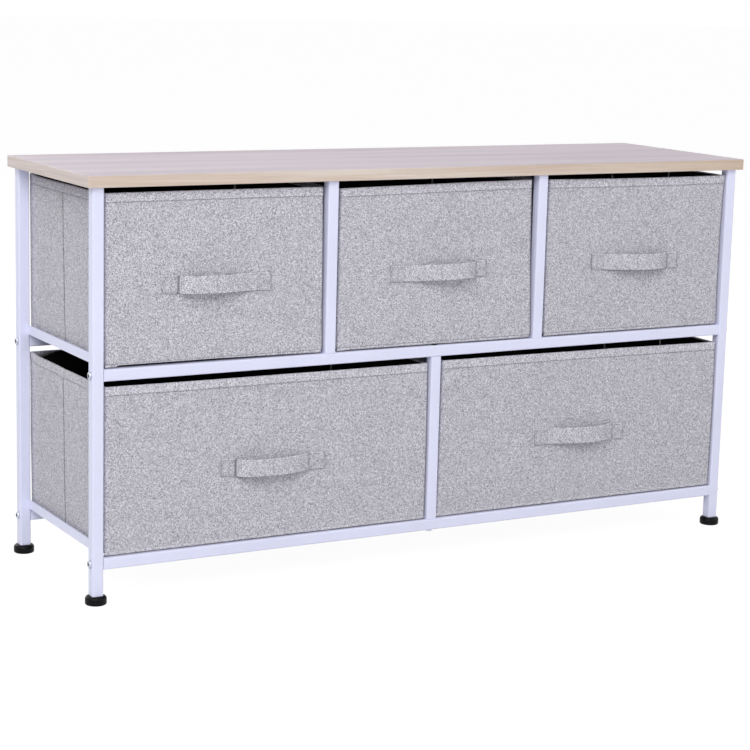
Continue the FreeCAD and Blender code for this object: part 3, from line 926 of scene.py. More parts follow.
def box(bm, low, high):
    """Adds a box between two corners, in metres, and gives its vertices."""
    size = Vector(high) - Vector(low)
    middle = (Vector(high) + Vector(low)) / 2
    matrix = Matrix.Translation(middle) @ Matrix.Diagonal((*size, 1))
    return bmesh.ops.create_cube(bm, size=1.0, matrix=matrix)["verts"]


def round_edges(bm, edges, radius, segments):
    """Rounds some edges."""
    bmesh.ops.bevel(
        bm,
        geom=edges,
        offset=radius,
        offset_type="OFFSET",
        segments=segments,
        profile=0.5,
        affect="EDGES",
        clamp_overlap=True,
        material=-1,
    )


def edges_along(bm, axis):
    """The straight edges of a box that run along one axis: 0, 1 or 2."""
    found = []
    for edge in bm.edges:
        run = edge.verts[1].co - edge.verts[0].co
        if abs(run[axis]) > 0.999 * run.length:
            found.append(edge)
    return found


def slice_at(bm, axis, places):
    """Cuts every face at the given places along one axis, and keeps both sides."""
    for place in places:
        point, normal = Vector(), Vector()
        point[axis], normal[axis] = place, 1.0
        bmesh.ops.bisect_plane(
            bm, geom=bm.verts[:] + bm.edges[:] + bm.faces[:], dist=1e-6, plane_co=point, plane_no=normal
        )


def evenly(low, high, step):
    """Places between low and high, about a step apart, without the ends."""
    count = max(1, round((high - low) / step))
    return [low + (high - low) * i / count for i in range(1, count)]


def lay_weave(bm):
    """Lays the cloth's threads on a piece: its map is in metres, flat on each face's own plane."""
    layer = bm.loops.layers.uv.new("weave")
    bm.normal_update()
    for face in bm.faces:
        facing = [abs(c) for c in face.normal]
        main = facing.index(max(facing))
        first, second = ((1, 2), (0, 2), (0, 1))[main]
        for loop in face.loops:
            loop[layer].uv = (loop.vert.co[first] + 2.0, loop.vert.co[second] + 2.0)


def through(start, middle, end, share):
    """A smooth value that passes through three others at shares 0, a half and 1."""
    bend = start - 2 * middle + end
    return start + share * (end - start) + 2 * bend * share * (share - 1)


def along_pairs(pairs, share):
    """The value at a share, along straight runs between pairs of share and value."""
    for (low, first), (high, second) in zip(pairs, pairs[1:]):
        if share <= high:
            return mixed(first, second, max(0.0, share - low) / (high - low))
    return pairs[-1][1]


def mixed(first, second, share):
    """A value part of the way from the first to the second."""
    return first + (second - first) * share

def clamped(value):
    """A value kept between 0 and 1."""
    return min(1.0, max(0.0, value))

def at_height(places, up):
    """The value at a height, from those at a wall's top and bottom, or at its top, middle and bottom."""
    if len(places) == 2:
        return mixed(places[1], places[0], up)
    return through(*reversed(places), up)


class Drawer:
    """One drawer's place and size, read from the frame, and the way that its soft walls have settled."""

    def __init__(self, name):
        self.name = name
        self.body = f"drawer_{name}"
        low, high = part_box(f"drawer_{name}_fabric")
        lining_low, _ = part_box(f"drawer_{name}_lining")
        self.middle = (low.x + high.x) / 2
        self.half_x = (high.x - low.x) / 2
        self.half_y = (high.y - low.y) / 2
        self.bottom = lining_low.z - FLOOR_CLOTH
        self.hem_low = low.z
        self.top = high.z
        self.settled = SETTLED[name]

    def node(self, kind):
        """The name of one of the drawer's nodes."""
        return f"drawer_{self.name}_{kind}"

    def settle(self, place):
        """Where a point of the neat drawer ends up on the real one."""
        right_share = clamped((place.x - self.middle + self.half_x) / (2 * self.half_x))
        up = clamped((place.z - self.bottom) / (self.top - self.bottom))
        back = clamped((place.y + self.half_y) / (2 * self.half_y))
        left = mixed(at_height(self.settled["left"], up), at_height(self.settled["rear_left"], up), back)
        right = mixed(at_height(self.settled["right"], up), at_height(self.settled["rear_right"], up), back)
        # The rims of the side walls sag between their corners.
        between = min(1.0, back / 0.1) * min(1.0, (1 - back) / 0.1)
        sag = mixed(*RIM_SAG[self.name], right_share) * between
        rise = (through(*self.settled["rim"], right_share) * (1 - back) - sag) * up**3
        off_fold = abs(place.y - FOLD_Y[-1])
        near_fold = max(0.0, 1 - off_fold / (50 * MM)) * (1 - right_share) ** 4
        lean = at_height(FOLD_LEAN.get(self.name, (0.0, 0.0, 0.0)), up) * near_fold
        # The two halves of the left wall meet at a slight angle, so their fold stands proud.
        proud = math.exp(-off_fold / (7 * MM)) * (1 - right_share) ** 8 * min(1.0, 4 * up)
        forward = at_height(self.settled["forward"], up) * right_share**2 * (1 - back)
        spot = place / (WAVE_LENGTH * MM) + Vector((0, 0, 3.1 * DRAWERS.index(self.name)))
        wave = Vector([noise.noise(spot + offset) for offset in WAVE_OFFSETS]) * WAVE_HEIGHT
        shift_x = mixed(left, right, right_share) + wave.x - proud
        shift_y = wave.y - lean - forward
        shift_z = rise + wave.z * 0.4 * up
        return place + Vector((shift_x, shift_y, shift_z)) * MM

    def settle_all(self, bm):
        """Settles every vertex of a piece."""
        for vert in bm.verts:
            vert.co = self.settle(vert.co)

    def inset(self, place, inset, radius):
        """A point of the upright outline, moved inwards: corners keep their middle until they are sharp."""
        x, y = place.x - self.middle, place.y
        turn_x, turn_y = self.half_x - radius, self.half_y - radius
        edge_x, edge_y = self.half_x - inset, self.half_y - inset
        far_x, far_y = abs(x), abs(y)
        if far_x > turn_x and far_y > turn_y:
            left = max(radius - inset, 0.0) / radius
            far_x = min(turn_x, edge_x) + (far_x - turn_x) * left
            far_y = min(turn_y, edge_y) + (far_y - turn_y) * left
        else:
            far_x, far_y = min(far_x, edge_x), min(far_y, edge_y)
        return Vector((self.middle + math.copysign(far_x, x), math.copysign(far_y, y), place.z))


def drawers():
    """The five drawers."""
    return [Drawer(name) for name in DRAWERS]


def open_box(drawer, inset, low, high, radius, cell, extra_x=(), extra_y=(), extra_z=()):
    """A box with no lid, as wide as a drawer less an inset, cut into cells so that it can bend."""
    bm = bmesh.new()
    half_x, half_y = drawer.half_x - inset, drawer.half_y - inset
    box(bm, (drawer.middle - half_x, -half_y, low), (drawer.middle + half_x, half_y, high))
    lid = [face for face in bm.faces if face.normal.z > 0.9]
    bmesh.ops.delete(bm, geom=lid, context="FACES_ONLY")
    if radius > 0:
        round_edges(bm, edges_along(bm, 2), radius, 4)
    cells_x = evenly(drawer.middle - half_x + radius, drawer.middle + half_x - radius, cell)
    cells_y = evenly(-half_y + radius, half_y - radius, cell)
    slice_at(bm, 2, sorted([*evenly(low, high, cell), *extra_z]))
    slice_at(bm, 0, sorted([*cells_x, *extra_x]))
    slice_at(bm, 1, sorted([*cells_y, *extra_y]))
    return bm


# How far the lining stops below the rim.
LINING_DROP = 0.8 * MM
# Where the left and right walls fold flat, measured back from their middles.
FOLD_Y = {-1: 10.5 * MM, 1: -9.0 * MM}
# How far forward the left walls' folds have wandered at their tops, middles and bottoms, in millimetres.
FOLD_LEAN = {
    "upper_left": (0.0, 3.8, 7.0),
    "lower_left": (2.5, 5.5, 6.2),
}
# How far the cloth reaches inwards across the rim, in millimetres.
RIM_WALL = 4.0
# How much deeper than the hem's seam the side walls' folds are pressed, and how dark folds and the
# fronts' right corners look where a stitched seam is 1.
# The darkness of the folds and of the fronts' right corners is painted shade.
FOLD_DEEPER = 1.3
FOLD_SHADE = 2.4
CORNER_SHADE = 1.9
# How far the strip below a front reaches past its left corner, and stops short of its right one.
STRIP_PAST_LEFT = 0.7 * MM
STRIP_SHORT_OF_RIGHT = {"upper": 3.4 * MM, "lower": 1.6 * MM}
# The spacing, length and thickness of the stitches in the drawers and in the straps' tabs.
SEAM_STITCH = (4.2 * MM, 3.3 * MM, 0.6 * MM)
TAB_STITCH = (3.4 * MM, 2.7 * MM, 0.7 * MM)
# How far the drawers' stitches stand out of their seams.
STITCH_PROUD = 0.2 * MM
# How far the stitches on a strap lie from its long edges and from its ends, in millimetres.
ROW_INSET = 2.4
END_INSET = 2.2
# How far a steep bow leans over its tab, in millimetres.
NIP_LEAN = 2.1
# The cells that the stiff boards are cut into so that they can bend.
BOARD_CELL = 24 * MM


def hem_height(drawer, settings):
    """The height of the hem's stitches."""
    return drawer.top - settings.hem_depth


def roll_rim(bm, drawer, settings, radius):
    """Carries the cloth over the rim, across the wall's thickness and down inside the drawer."""
    wall = RIM_WALL
    steps = [
        (0.3, 0.6),
        (1.1, 0.1),
        (wall / 2, 0.0),
        (wall - 1.1, 0.1),
        (wall - 0.3, 0.6),
        (wall, settings.turn_in / MM),
    ]
    origin = {v: v.co.copy() for v in bm.verts if v.is_boundary}
    loop = [edge for edge in bm.edges if edge.is_boundary]
    for inset, drop in steps:
        made = bmesh.ops.extrude_edge_only(bm, edges=loop)["geom"]
        new = [v for v in made if isinstance(v, bmesh.types.BMVert)]
        source = {}
        for vert in new:
            for edge in vert.link_edges:
                other = edge.other_vert(vert)
                if other in origin:
                    source[vert] = origin[other]
        for vert in new:
            vert.co = drawer.inset(source[vert], inset * MM, radius)
            vert.co.z = drawer.top - drop * MM
            # In the rear left corner the pale cloth reaches further down, a painted patch of light on the
            # dark lining.
            if inset == wall and vert.co.y > drawer.half_y - (wall + 0.5) * MM:
                deep, wide = LIT_CORNER_PATCH.get(drawer.name, (0.0, 1.0))
                across = (vert.co.x - drawer.middle + drawer.half_x) / MM - wall
                vert.co.z -= deep * MM * max(0.0, 1 - across / wide)
        origin = source
        loop = [edge for edge in made if isinstance(edge, bmesh.types.BMEdge) and edge.is_boundary]
    bmesh.ops.remove_doubles(bm, verts=bm.verts[:], dist=1e-5)


def press_seams(bm, drawer, settings):
    """Pulls the cloth in along its stitches and paints shade and highlight along them for the cloth's
    colour.
    """
    crease = bm.verts.layers.float.new("crease")
    ridge = bm.verts.layers.float.new("ridge")
    hem = hem_height(drawer, settings)
    bm.normal_update()
    moves = {}
    for vert in bm.verts:
        flat = Vector((vert.normal.x, vert.normal.y, 0))
        if flat.length < 0.6:
            continue
        off_hem = (vert.co.z - hem) / MM
        pull = math.exp(-((off_hem / 0.8) ** 2))
        band = 0.25 * clamped(off_hem / 1.5)
        outside = abs(vert.co.x - drawer.middle) > drawer.half_x - 1e-4
        fold = 0.0
        if outside and off_hem < 0.5:
            fold_y = FOLD_Y[1 if vert.co.x > drawer.middle else -1]
            fold = math.exp(-(((vert.co.y - fold_y) / MM / 1.2) ** 2))
        # Painted shade along the hem's stitches and the side walls' folds, and a painted highlight above the
        # hem.
        vert[crease] = max(pull * (0.6 if outside else 1.0), FOLD_SHADE * fold)
        vert[ridge] = math.exp(-(((off_hem - 1.7) / 0.8) ** 2)) * (0.4 if outside else 1.0)
        if off_hem > 2.5:
            # The turned-over hem is double, and gets a painted highlight.
            vert[ridge] = 0.15 if outside else 0.4
        if vert.co.y > drawer.half_y - 4.5 * MM and vert.normal.y < -0.5:
            # Painted shade: inside the rear wall the cloth fades into the dark of the drawer.
            vert[crease] = 1.2 if vert.co.z > drawer.top - 1.0 * MM else 2.7
        if vert.normal.x > 0.0 and vert.normal.y < -0.1 and vert.co.x > drawer.middle:
            # Painted shade: the front's right corner turns away into the dark beside the post.
            vert[crease] = max(vert[crease], CORNER_SHADE * clamped((vert.normal.x - 0.05) / 0.4))
        deep = settings.seam_depth * max(pull, FOLD_DEEPER * fold)
        moves[vert] = flat.normalized() * (band * MM - deep)
    for vert, move in moves.items():
        vert.co += move


def make_cover(drawer, settings, radius):
    """The outer cloth of one drawer, before it gets its thickness."""
    hem = hem_height(drawer, settings)
    near_hem = [hem + off * MM for off in (-2.6, -1.2, -0.6, 0.0, 0.6, 1.2, 2.0, 2.9)]
    off_fold = (-2.4, -1.0, -0.5, 0.0, 0.5, 1.0, 2.4)
    near_fold = [fold + off * MM for fold in FOLD_Y.values() for off in off_fold]
    beside = 1.6 * MM
    edge_x = [drawer.middle + side * (drawer.half_x - radius - beside) for side in (-1, 1)]
    edge_y = [side * (drawer.half_y - radius - beside) for side in (-1, 1)]
    bm = open_box(
        drawer,
        0.0,
        drawer.bottom,
        drawer.top - 1.4 * MM,
        radius,
        8 * MM,
        edge_x,
        [*near_fold, *edge_y],
        [*near_hem, drawer.bottom + 2.2 * MM],
    )
    floor = [
        edge
        for edge in bm.edges
        if all(abs(v.co.z - drawer.bottom) < 1e-6 for v in edge.verts)
        and any(abs(face.normal.z) < 0.5 for face in edge.link_faces)
    ]
    round_edges(bm, floor, 0.9 * MM, 2)
    roll_rim(bm, drawer, settings, radius)
    lay_weave(bm)
    press_seams(bm, drawer, settings)
    drawer.settle_all(bm)
    return bm


def thicken(made, thickness, name="Cloth thickness"):
    """Gives a sheet its thickness, inwards."""
    solid = made.modifiers.new(name, "SOLIDIFY")
    solid.thickness = thickness
    solid.offset = -1.0
    solid.use_even_offset = True
    solid.use_rim = True


def make_binding(drawer):
    """The folded strip of cloth that hangs below the front and hides the runners."""
    bm = bmesh.new()
    row = drawer.name.split("_")[0]
    left = drawer.middle - drawer.half_x - STRIP_PAST_LEFT
    right = drawer.middle + drawer.half_x - STRIP_SHORT_OF_RIGHT[row]
    low, high = drawer.hem_low + 0.1 * MM, drawer.bottom - 0.1 * MM
    box(bm, (left, -drawer.half_y - 0.3 * MM, low), (right, -drawer.half_y + 1.0 * MM, high))
    round_edges(bm, edges_along(bm, 0), 0.5 * MM, 3)
    slice_at(bm, 0, evenly(left, right, 3 * MM))
    slice_at(bm, 2, [drawer.hem_low + off * MM for off in (0.6, 1.1, 1.7)])
    crease = bm.verts.layers.float.new("crease")
    ridge = bm.verts.layers.float.new("ridge")
    lay_weave(bm)
    for vert in bm.verts:
        # Painted shade darkens the folded lower edge, which lies in its own shade.
        vert[crease] = FOLD_SHADE * clamped((drawer.hem_low + 1.3 * MM - vert.co.z) / (0.5 * MM))
        # A faint painted highlight over the whole strip.
        vert[ridge] = 0.25
        share = (vert.co.x - left) / (right - left)
        lift = along_pairs(drawer.settled["strip"], share)
        depth = (drawer.bottom - vert.co.z) / (drawer.bottom - drawer.hem_low)
        vert.co.z += lift * depth * MM
        vert.co.y -= 0.12 * max(lift, 0.0) * depth * MM
    drawer.settle_all(bm)
    return bm


def make_panels(drawer, cloth, settings):
    """The six stiff panels in one drawer's walls."""
    bm = bmesh.new()
    outside, inside = cloth.thickness, cloth.thickness + settings.panel_thickness
    low, high = drawer.bottom + cloth.thickness, drawer.top - cloth.thickness - 0.1 * MM
    left, right = drawer.middle - drawer.half_x + inside, drawer.middle + drawer.half_x - inside
    for side in (-1, 1):
        y = sorted((side * (drawer.half_y - outside), side * (drawer.half_y - inside)))
        box(bm, (left, y[0], low), (right, y[1], high))
    for side_x in (-1, 1):
        x = sorted(drawer.middle + side_x * (drawer.half_x - depth) for depth in (outside, inside))
        for side_y in (-1, 1):
            y = sorted((FOLD_Y[side_x] + side_y * 1.5 * MM, side_y * (drawer.half_y - inside)))
            box(bm, (x[0], y[0], low), (x[1], y[1], high))
    slice_at(bm, 2, evenly(low, high, BOARD_CELL))
    slice_at(bm, 0, evenly(left, right, BOARD_CELL))
    slice_at(bm, 1, evenly(-drawer.half_y + inside, drawer.half_y - inside, BOARD_CELL))
    drawer.settle_all(bm)
    return bm


def make_lining(drawer, cloth, settings):
    """The lining of one drawer, before it gets its thickness: a floor and four walls."""
    inset = cloth.thickness + settings.panel_thickness
    bm = open_box(
        drawer, inset, drawer.bottom + cloth.thickness, drawer.top - LINING_DROP, 0.0, 14 * MM
    )
    drawer.settle_all(bm)
    return bm


def make_base(drawer, cloth, settings):
    """The loose board on one drawer's floor, wrapped in the lining's cloth."""
    bm = bmesh.new()
    inset = cloth.thickness + settings.panel_thickness + settings.lining_thickness + 0.6 * MM
    half_x, half_y = drawer.half_x - inset, drawer.half_y - inset
    low = drawer.bottom + cloth.thickness + settings.lining_thickness + 0.05 * MM
    left, right = drawer.middle - half_x, drawer.middle + half_x
    box(bm, (left, -half_y, low), (right, half_y, low + settings.base_thickness))
    round_edges(bm, bm.edges[:], 0.8 * MM, 3)
    slice_at(bm, 0, evenly(left + 2 * MM, right - 2 * MM, BOARD_CELL))
    slice_at(bm, 1, evenly(-half_y + 2 * MM, half_y - 2 * MM, BOARD_CELL))
    drawer.settle_all(bm)
    return bm


class Strap:
    """The way that one drawer's strap handle hangs: two flat tabs, and the bow between them."""

    def __init__(self, drawer, settings):
        self.drawer = drawer
        self.settings = settings
        self.hung = STRAPS[drawer.name]
        low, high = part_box(drawer.node("handle"))
        self.half = (high.x - low.x) / 2
        self.middle = Vector(((low.x + high.x) / 2, high.y, (low.z + high.z) / 2))
        self.tabs = [settings.tab + longer * MM for longer in self.hung["longer"]]
        self.line = self.bow_line()
        self.lengths = [0.0]
        for a, b in zip(self.line, self.line[1:]):
            self.lengths.append(self.lengths[-1] + (b - a).length)
        self.total = self.lengths[-1]

    def bow_line(self):
        """The strap's middle line, seen from above."""
        bow = self.settings.bow
        crown = self.hung["crown"] * (self.half - self.settings.tab)
        sides = []
        for side, steep, tab in zip((-1, 1), self.hung["steep"], self.tabs):
            start = side * (self.half - tab)
            reach = crown - start
            first = (start + reach * mixed(0.42, 0.0, steep), bow * mixed(0.0, 0.6, steep), 0)
            second = (crown - reach * mixed(0.5, 0.72, steep), bow, 0)
            sides.append(geometry.interpolate_bezier((start, 0, 0), first, second, (crown, bow, 0), 28))
        rise, fall = sides
        return [
            Vector((-self.half, 0, 0)),
            *(Vector(p) for p in rise),
            *(Vector(p) for p in reversed(fall[:-1])),
            Vector((self.half, 0, 0)),
        ]

    def at(self, distance):
        """The place and direction at a length along the line."""
        distance = min(max(distance, 0.0), self.total)
        index = min(max(bisect.bisect_left(self.lengths, distance) - 1, 0), len(self.line) - 2)
        a, b = self.line[index], self.line[index + 1]
        share = (distance - self.lengths[index]) / (self.lengths[index + 1] - self.lengths[index])
        return a.lerp(b, share), (b - a).normalized()

    def hang(self, place, stand_off):
        """Where a point of the flat strap ends up: x runs along it from its middle, and z across it."""
        on_line, heading = self.at(place.x + self.total / 2)
        out = Vector((-heading.y, heading.x, 0))
        bent = on_line + out * (stand_off + place.y)
        loose = clamped(bent.y / self.settings.bow)
        rise = through(*self.hung["rise"], (bent.x / self.half + 1) / 2) * MM
        across = place.z * (self.hung["narrow"] - self.settings.gather * loose)
        tip = -place.z / self.settings.width * 0.8 * MM * loose
        spot = self.middle + Vector((bent.x + self.hung["shift"] * MM, -bent.y - tip, across + rise))
        return self.drawer.settle(spot)


def make_strap(strap, settings):
    """One strap handle, folded from the drawers' cloth and bent along its line."""
    total = strap.total
    bm = bmesh.new()
    half_z, half_y = settings.width / 2, settings.thickness / 2
    stitched_z = half_z - ROW_INSET * MM
    box(bm, (-total / 2, -half_y, -half_z), (total / 2, half_y, half_z))
    round_edges(bm, bm.edges[:], 0.8 * MM, 3)
    slice_at(bm, 0, evenly(-total / 2 + MM, total / 2 - MM, 1.2 * MM))
    near_tab = []
    for side, steep, tab in zip((-1, 1), strap.hung["steep"], strap.tabs):
        for off in (-1.6, -0.8, 0.0, 0.8, 1.6):
            for nip in (-NIP_LEAN * steep, NIP_LEAN * steep):
                near_tab.append(side * (total / 2 - tab + (nip + off) * MM))
    near_row = [side * (total / 2 - (END_INSET + off) * MM) for side in (-1, 1) for off in (-0.6, 0.0, 0.6)]
    slice_at(bm, 0, near_tab + near_row)
    slice_at(bm, 2, [side * (stitched_z + off * MM) for side in (-1, 1) for off in (-1.0, 0.0, 1.0)])
    crease = bm.verts.layers.float.new("crease")
    ridge = bm.verts.layers.float.new("ridge")
    lay_weave(bm)
    for vert in bm.verts:
        off_end = (total / 2 - abs(vert.co.x)) / MM
        off_tab = off_end - strap.tabs[vert.co.x > 0] / MM
        off_row = (abs(vert.co.z) - stitched_z) / MM
        if vert.co.y < -0.1 * MM:
            # Painted shade on the side next to the drawer, deeper near the tabs.
            vert[crease] = 1.3 if off_tab < 2 else 0.5
            continue
        steep = strap.hung["steep"][vert.co.x > 0]
        # A steep bow leans over the end of its tab, so the painted shade of the nip between them lies
        # further out.
        nip = abs(off_tab) - NIP_LEAN * steep
        rows = [math.exp(-((nip / 1.1) ** 2)) * mixed(0.45, 1.8, steep)]
        # Painted shade along the tab's stitch rows and along its stitched and folded ends.
        if off_tab < 0:
            rows.append(0.6 * math.exp(-((off_row / 0.7) ** 2)))
            rows.append(0.5 * math.exp(-(((off_end - END_INSET) / 0.8) ** 2)))
            rows.append(strap.hung["ends"][vert.co.x > 0] * math.exp(-((off_end / 0.9) ** 2)))
        # Painted shade along the strap's lower edge, and a painted highlight along its upper edge.
        if vert.co.z < -half_z + 0.6 * MM:
            rows.append(1.6)
        vert[crease] = max(rows)
        vert[ridge] = 0.9 if vert.co.z > half_z - 1.0 * MM else 0.2
        vert.co.y -= 0.35 * MM * min(1.5, max(rows))
    for vert in bm.verts:
        vert.co = strap.hang(vert.co, half_y + 0.1 * MM)
    return bm


def sew(bm, start, end, pitch, stitch, size):
    """Adds a row of straight stitches between two points: each is a small pinched bead."""
    run = end - start
    count = max(1, int(run.length / pitch))
    step = run / count
    turn = run.to_track_quat("X", "Z").to_matrix().to_4x4()
    scale = Matrix.Diagonal((stitch / 2, size / 2, size / 2, 1))
    row = bmesh.new()
    first = Matrix.Translation(start + step / 2) @ turn @ scale
    bmesh.ops.create_icosphere(row, subdivisions=1, radius=1.0, matrix=first)
    bead_size = len(row.verts)
    done = 1
    while done < count:
        # Doubling the row keeps a long seam quick to sew.
        more = min(done, count - done)
        row.verts.ensure_lookup_table()
        beads = set(row.verts[: more * bead_size])
        faces = [face for face in row.faces if face.verts[0] in beads]
        made = bmesh.ops.duplicate(row, geom=faces)["geom"]
        copies = [item for item in made if isinstance(item, bmesh.types.BMVert)]
        bmesh.ops.translate(row, verts=copies, vec=step * done)
        done += more
    mesh = bpy.data.meshes.new("row")
    row.to_mesh(mesh)
    row.free()
    bm.from_mesh(mesh)
    bpy.data.meshes.remove(mesh)


def make_seams(drawer, cloth, radius):
    """The stitches of one drawer's hem and side folds."""
    bm = bmesh.new()
    hem = hem_height(drawer, cloth)
    sink = cloth.seam_depth - STITCH_PROUD
    half_x, half_y = drawer.half_x - sink, drawer.half_y - sink
    left, right = drawer.middle - half_x + radius, drawer.middle + half_x - radius
    for side in (-1, 1):
        y, x = side * half_y, drawer.middle + side * half_x
        sew(bm, Vector((left, y, hem)), Vector((right, y, hem)), *SEAM_STITCH)
        sew(bm, Vector((x, -half_y + radius, hem)), Vector((x, half_y - radius, hem)), *SEAM_STITCH)
    for side in (-1, 1):
        x = drawer.middle + side * (drawer.half_x - FOLD_DEEPER * cloth.seam_depth + STITCH_PROUD)
        low = Vector((x, FOLD_Y[side], drawer.bottom + 3 * MM))
        high = Vector((x, FOLD_Y[side], hem - 1.5 * MM))
        sew(bm, low, high, *SEAM_STITCH)
    drawer.settle_all(bm)
    return bm


def make_lining_seams_and_glints(drawer, cloth, settings):
    """Pale bound seams down the corners of one drawer's lining, which also paint glints of light there."""
    bm = bmesh.new()
    wall = cloth.thickness + settings.panel_thickness + settings.lining_thickness
    half_x, half_y = drawer.half_x - wall - 0.6 * MM, drawer.half_y - wall - 0.6 * MM
    low = drawer.bottom + 6 * MM
    high = drawer.top - 2 * MM
    places = [(sx * half_x, sy * half_y) for sx in (-1, 1) for sy in (-1, 1)]
    if drawer.name.endswith("right"):
        # In these drawers the tape also runs down the fold of the right wall.
        places.append((half_x, FOLD_Y[1]))
    for x, y in places:
        radius = 2.1 * MM if abs(y) > 0.5 * half_y else 1.3 * MM
        middle = Vector((drawer.middle + x, y, (low + high) / 2))
        bmesh.ops.create_cone(
            bm,
            cap_ends=True,
            segments=8,
            radius1=radius,
            radius2=radius,
            depth=high - low,
            matrix=Matrix.Translation(middle),
        )
    slice_at(bm, 2, evenly(low, high, 10 * MM))
    drawer.settle_all(bm)
    return bm


def make_handle_stitches(strap, settings):
    """The stitches that hold one strap: a box with a cross on each tab."""
    bm = bmesh.new()
    total = strap.total
    face = settings.thickness / 2 - 0.1 * MM
    half_z = settings.width / 2 - ROW_INSET * MM
    for side, tab in zip((-1, 1), strap.tabs):
        near = side * (total / 2 - tab + END_INSET * MM)
        far = side * (total / 2 - END_INSET * MM)
        corners = [
            Vector((near, face, -half_z)),
            Vector((far, face, -half_z)),
            Vector((far, face, half_z)),
            Vector((near, face, half_z)),
        ]
        rows = [(corners[i], corners[(i + 1) % 4]) for i in range(4)]
        rows += [(corners[0], corners[2]), (corners[1], corners[3])]
        for start, end in rows:
            sew(bm, start, end, *TAB_STITCH)
    for vert in bm.verts:
        vert.co = strap.hang(vert.co, settings.thickness / 2 + 0.1 * MM)
    return bm


# Operators


def dress(names, material):
    """Gives CAD nodes their finish."""
    for name in names:
        slots = frame["nodes"][name].data.materials
        slots.clear()
        slots.append(material)


def node_names(*beginnings):
    """The frame's nodes whose names start in one of the given ways."""
    return [name for name in sorted(frame["nodes"]) if name.startswith(beginnings)]


class DRESSER_OT_steel_frame(bpy.types.Operator):
    """Paint the posts, rails, dividers, runners and tabs"""

    bl_idname = "dresser.steel_frame"
    bl_label = "Steel frame"

    def execute(self, context):
        paint = powder_coated_steel(context.scene.dresser.frame)
        names = node_names(
            "post_", "front_", "rear_", "side_runner", "divider_runner", "upper_divider", "lower_divider"
        )
        dress([*names, "board_tabs"], paint)
        return {"FINISHED"}


class DRESSER_OT_fasteners(bpy.types.Operator):
    """Finish the bolts, screws, nuts and plugs"""

    bl_idname = "dresser.fasteners"
    bl_label = "Fasteners"

    def execute(self, context):
        settings = context.scene.dresser.frame
        # The places of the rail bolts' axes, round which their heads get painted shade.
        post_low, post_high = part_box("post_rear_left")
        rails = [sum((c.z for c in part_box(f"front_{level}_rail")), 0.0) / 2 for level in ("bottom", "mid")]
        recess_shade = ((post_low.y + post_high.y) / 2, rails[0], (rails[1] - rails[0]) / 2)
        dress(["rail_bolts"], plated_steel("zinc_plated_bolts", settings.zinc, 0.34, recess_shade))
        dress(["divider_bolts", "board_screws"], plated_steel("zinc_plated_screws", settings.zinc, 0.34))
        dress(["divider_flush_screws"], plated_steel("black_oxide_steel", settings.black_oxide, 0.42))
        dress(["foot_plugs", "rail_end_nuts", "divider_end_nuts"], moulded_plastic(settings, False))
        return {"FINISHED"}


class DRESSER_OT_feet(bpy.types.Operator):
    """Finish the levelling feet"""

    bl_idname = "dresser.feet"
    bl_label = "Levelling feet"

    def execute(self, context):
        names = node_names("foot_front", "foot_rear")
        dress(names, moulded_plastic(context.scene.dresser.frame, True))
        return {"FINISHED"}


class DRESSER_OT_top_board(bpy.types.Operator):
    """Finish the top board"""

    bl_idname = "dresser.top_board"
    bl_label = "Top board"

    def execute(self, context):
        dress(["top_board"], wood_grain_laminate(context.scene.dresser.board))
        return {"FINISHED"}


class DRESSER_OT_drawer_boards(bpy.types.Operator):
    """Build the stiff panels and the base board of each drawer"""

    bl_idname = "dresser.drawer_boards"
    bl_label = "Drawer panels and bases"

    def execute(self, context):
        settings, cloth = context.scene.dresser.drawer, context.scene.dresser.cloth
        board, wrap = greyboard(settings), spunbond_lining(settings)
        wrap.name = "wrapped_base_board"
        for drawer in drawers():
            name = drawer.node("panels")
            panels = make_panels(drawer, cloth, settings)
            piece(panels, f"{name}_set", board, drawer.body, [name], smooth=False)
            name = drawer.node("base")
            base = make_base(drawer, cloth, settings)
            piece(base, f"{name}_board", wrap, drawer.body, [name])
        return {"FINISHED"}


class DRESSER_OT_drawer_linings(bpy.types.Operator):
    """Build the lining of each drawer, with its seams"""

    bl_idname = "dresser.drawer_linings"
    bl_label = "Drawer linings"

    def execute(self, context):
        settings, cloth = context.scene.dresser.drawer, context.scene.dresser.cloth
        felt = spunbond_lining(settings)
        # Pale thread for the lining's seams, which also paint glints of light in the drawers' corners.
        seam_glint_thread = polyester_thread("overlock_thread", settings.lining_seam_and_glint)
        for drawer in drawers():
            name = drawer.node("lining")
            lining = make_lining(drawer, cloth, settings)
            made = piece(lining, f"{name}_felt", felt, drawer.body, [name], smooth=False)
            thicken(made, settings.lining_thickness, "Lining thickness")
            tapes = make_lining_seams_and_glints(drawer, cloth, settings)
            seams = piece(tapes, f"{name}_seams", seam_glint_thread, drawer.body)
            drawer.node("panels_set")
        return {"FINISHED"}


class DRESSER_OT_drawer_covers(bpy.types.Operator):
    """Build the outer cloth of each drawer, with its hem, binding and stitches"""

    bl_idname = "dresser.drawer_covers"
    bl_label = "Drawer covers"

    def execute(self, context):
        settings, cloth = context.scene.dresser.drawer, context.scene.dresser.cloth
        linen = heathered_linen(cloth)
        thread = polyester_thread("sewing_thread", cloth.thread)
        radius = settings.corner_radius
        for drawer in drawers():
            name = drawer.node("fabric")
            cover = make_cover(drawer, cloth, radius)
            made = piece(cover, f"{name}_cover", linen, drawer.body, [name])
            thicken(made, cloth.thickness)
            binding = piece(make_binding(drawer), f"{name}_binding", linen, drawer.body)
            stitches = make_seams(drawer, cloth, radius)
            seams = piece(stitches, f"{name}_stitches", thread, drawer.body)
            drawer.node("panels_set")
        return {"FINISHED"}


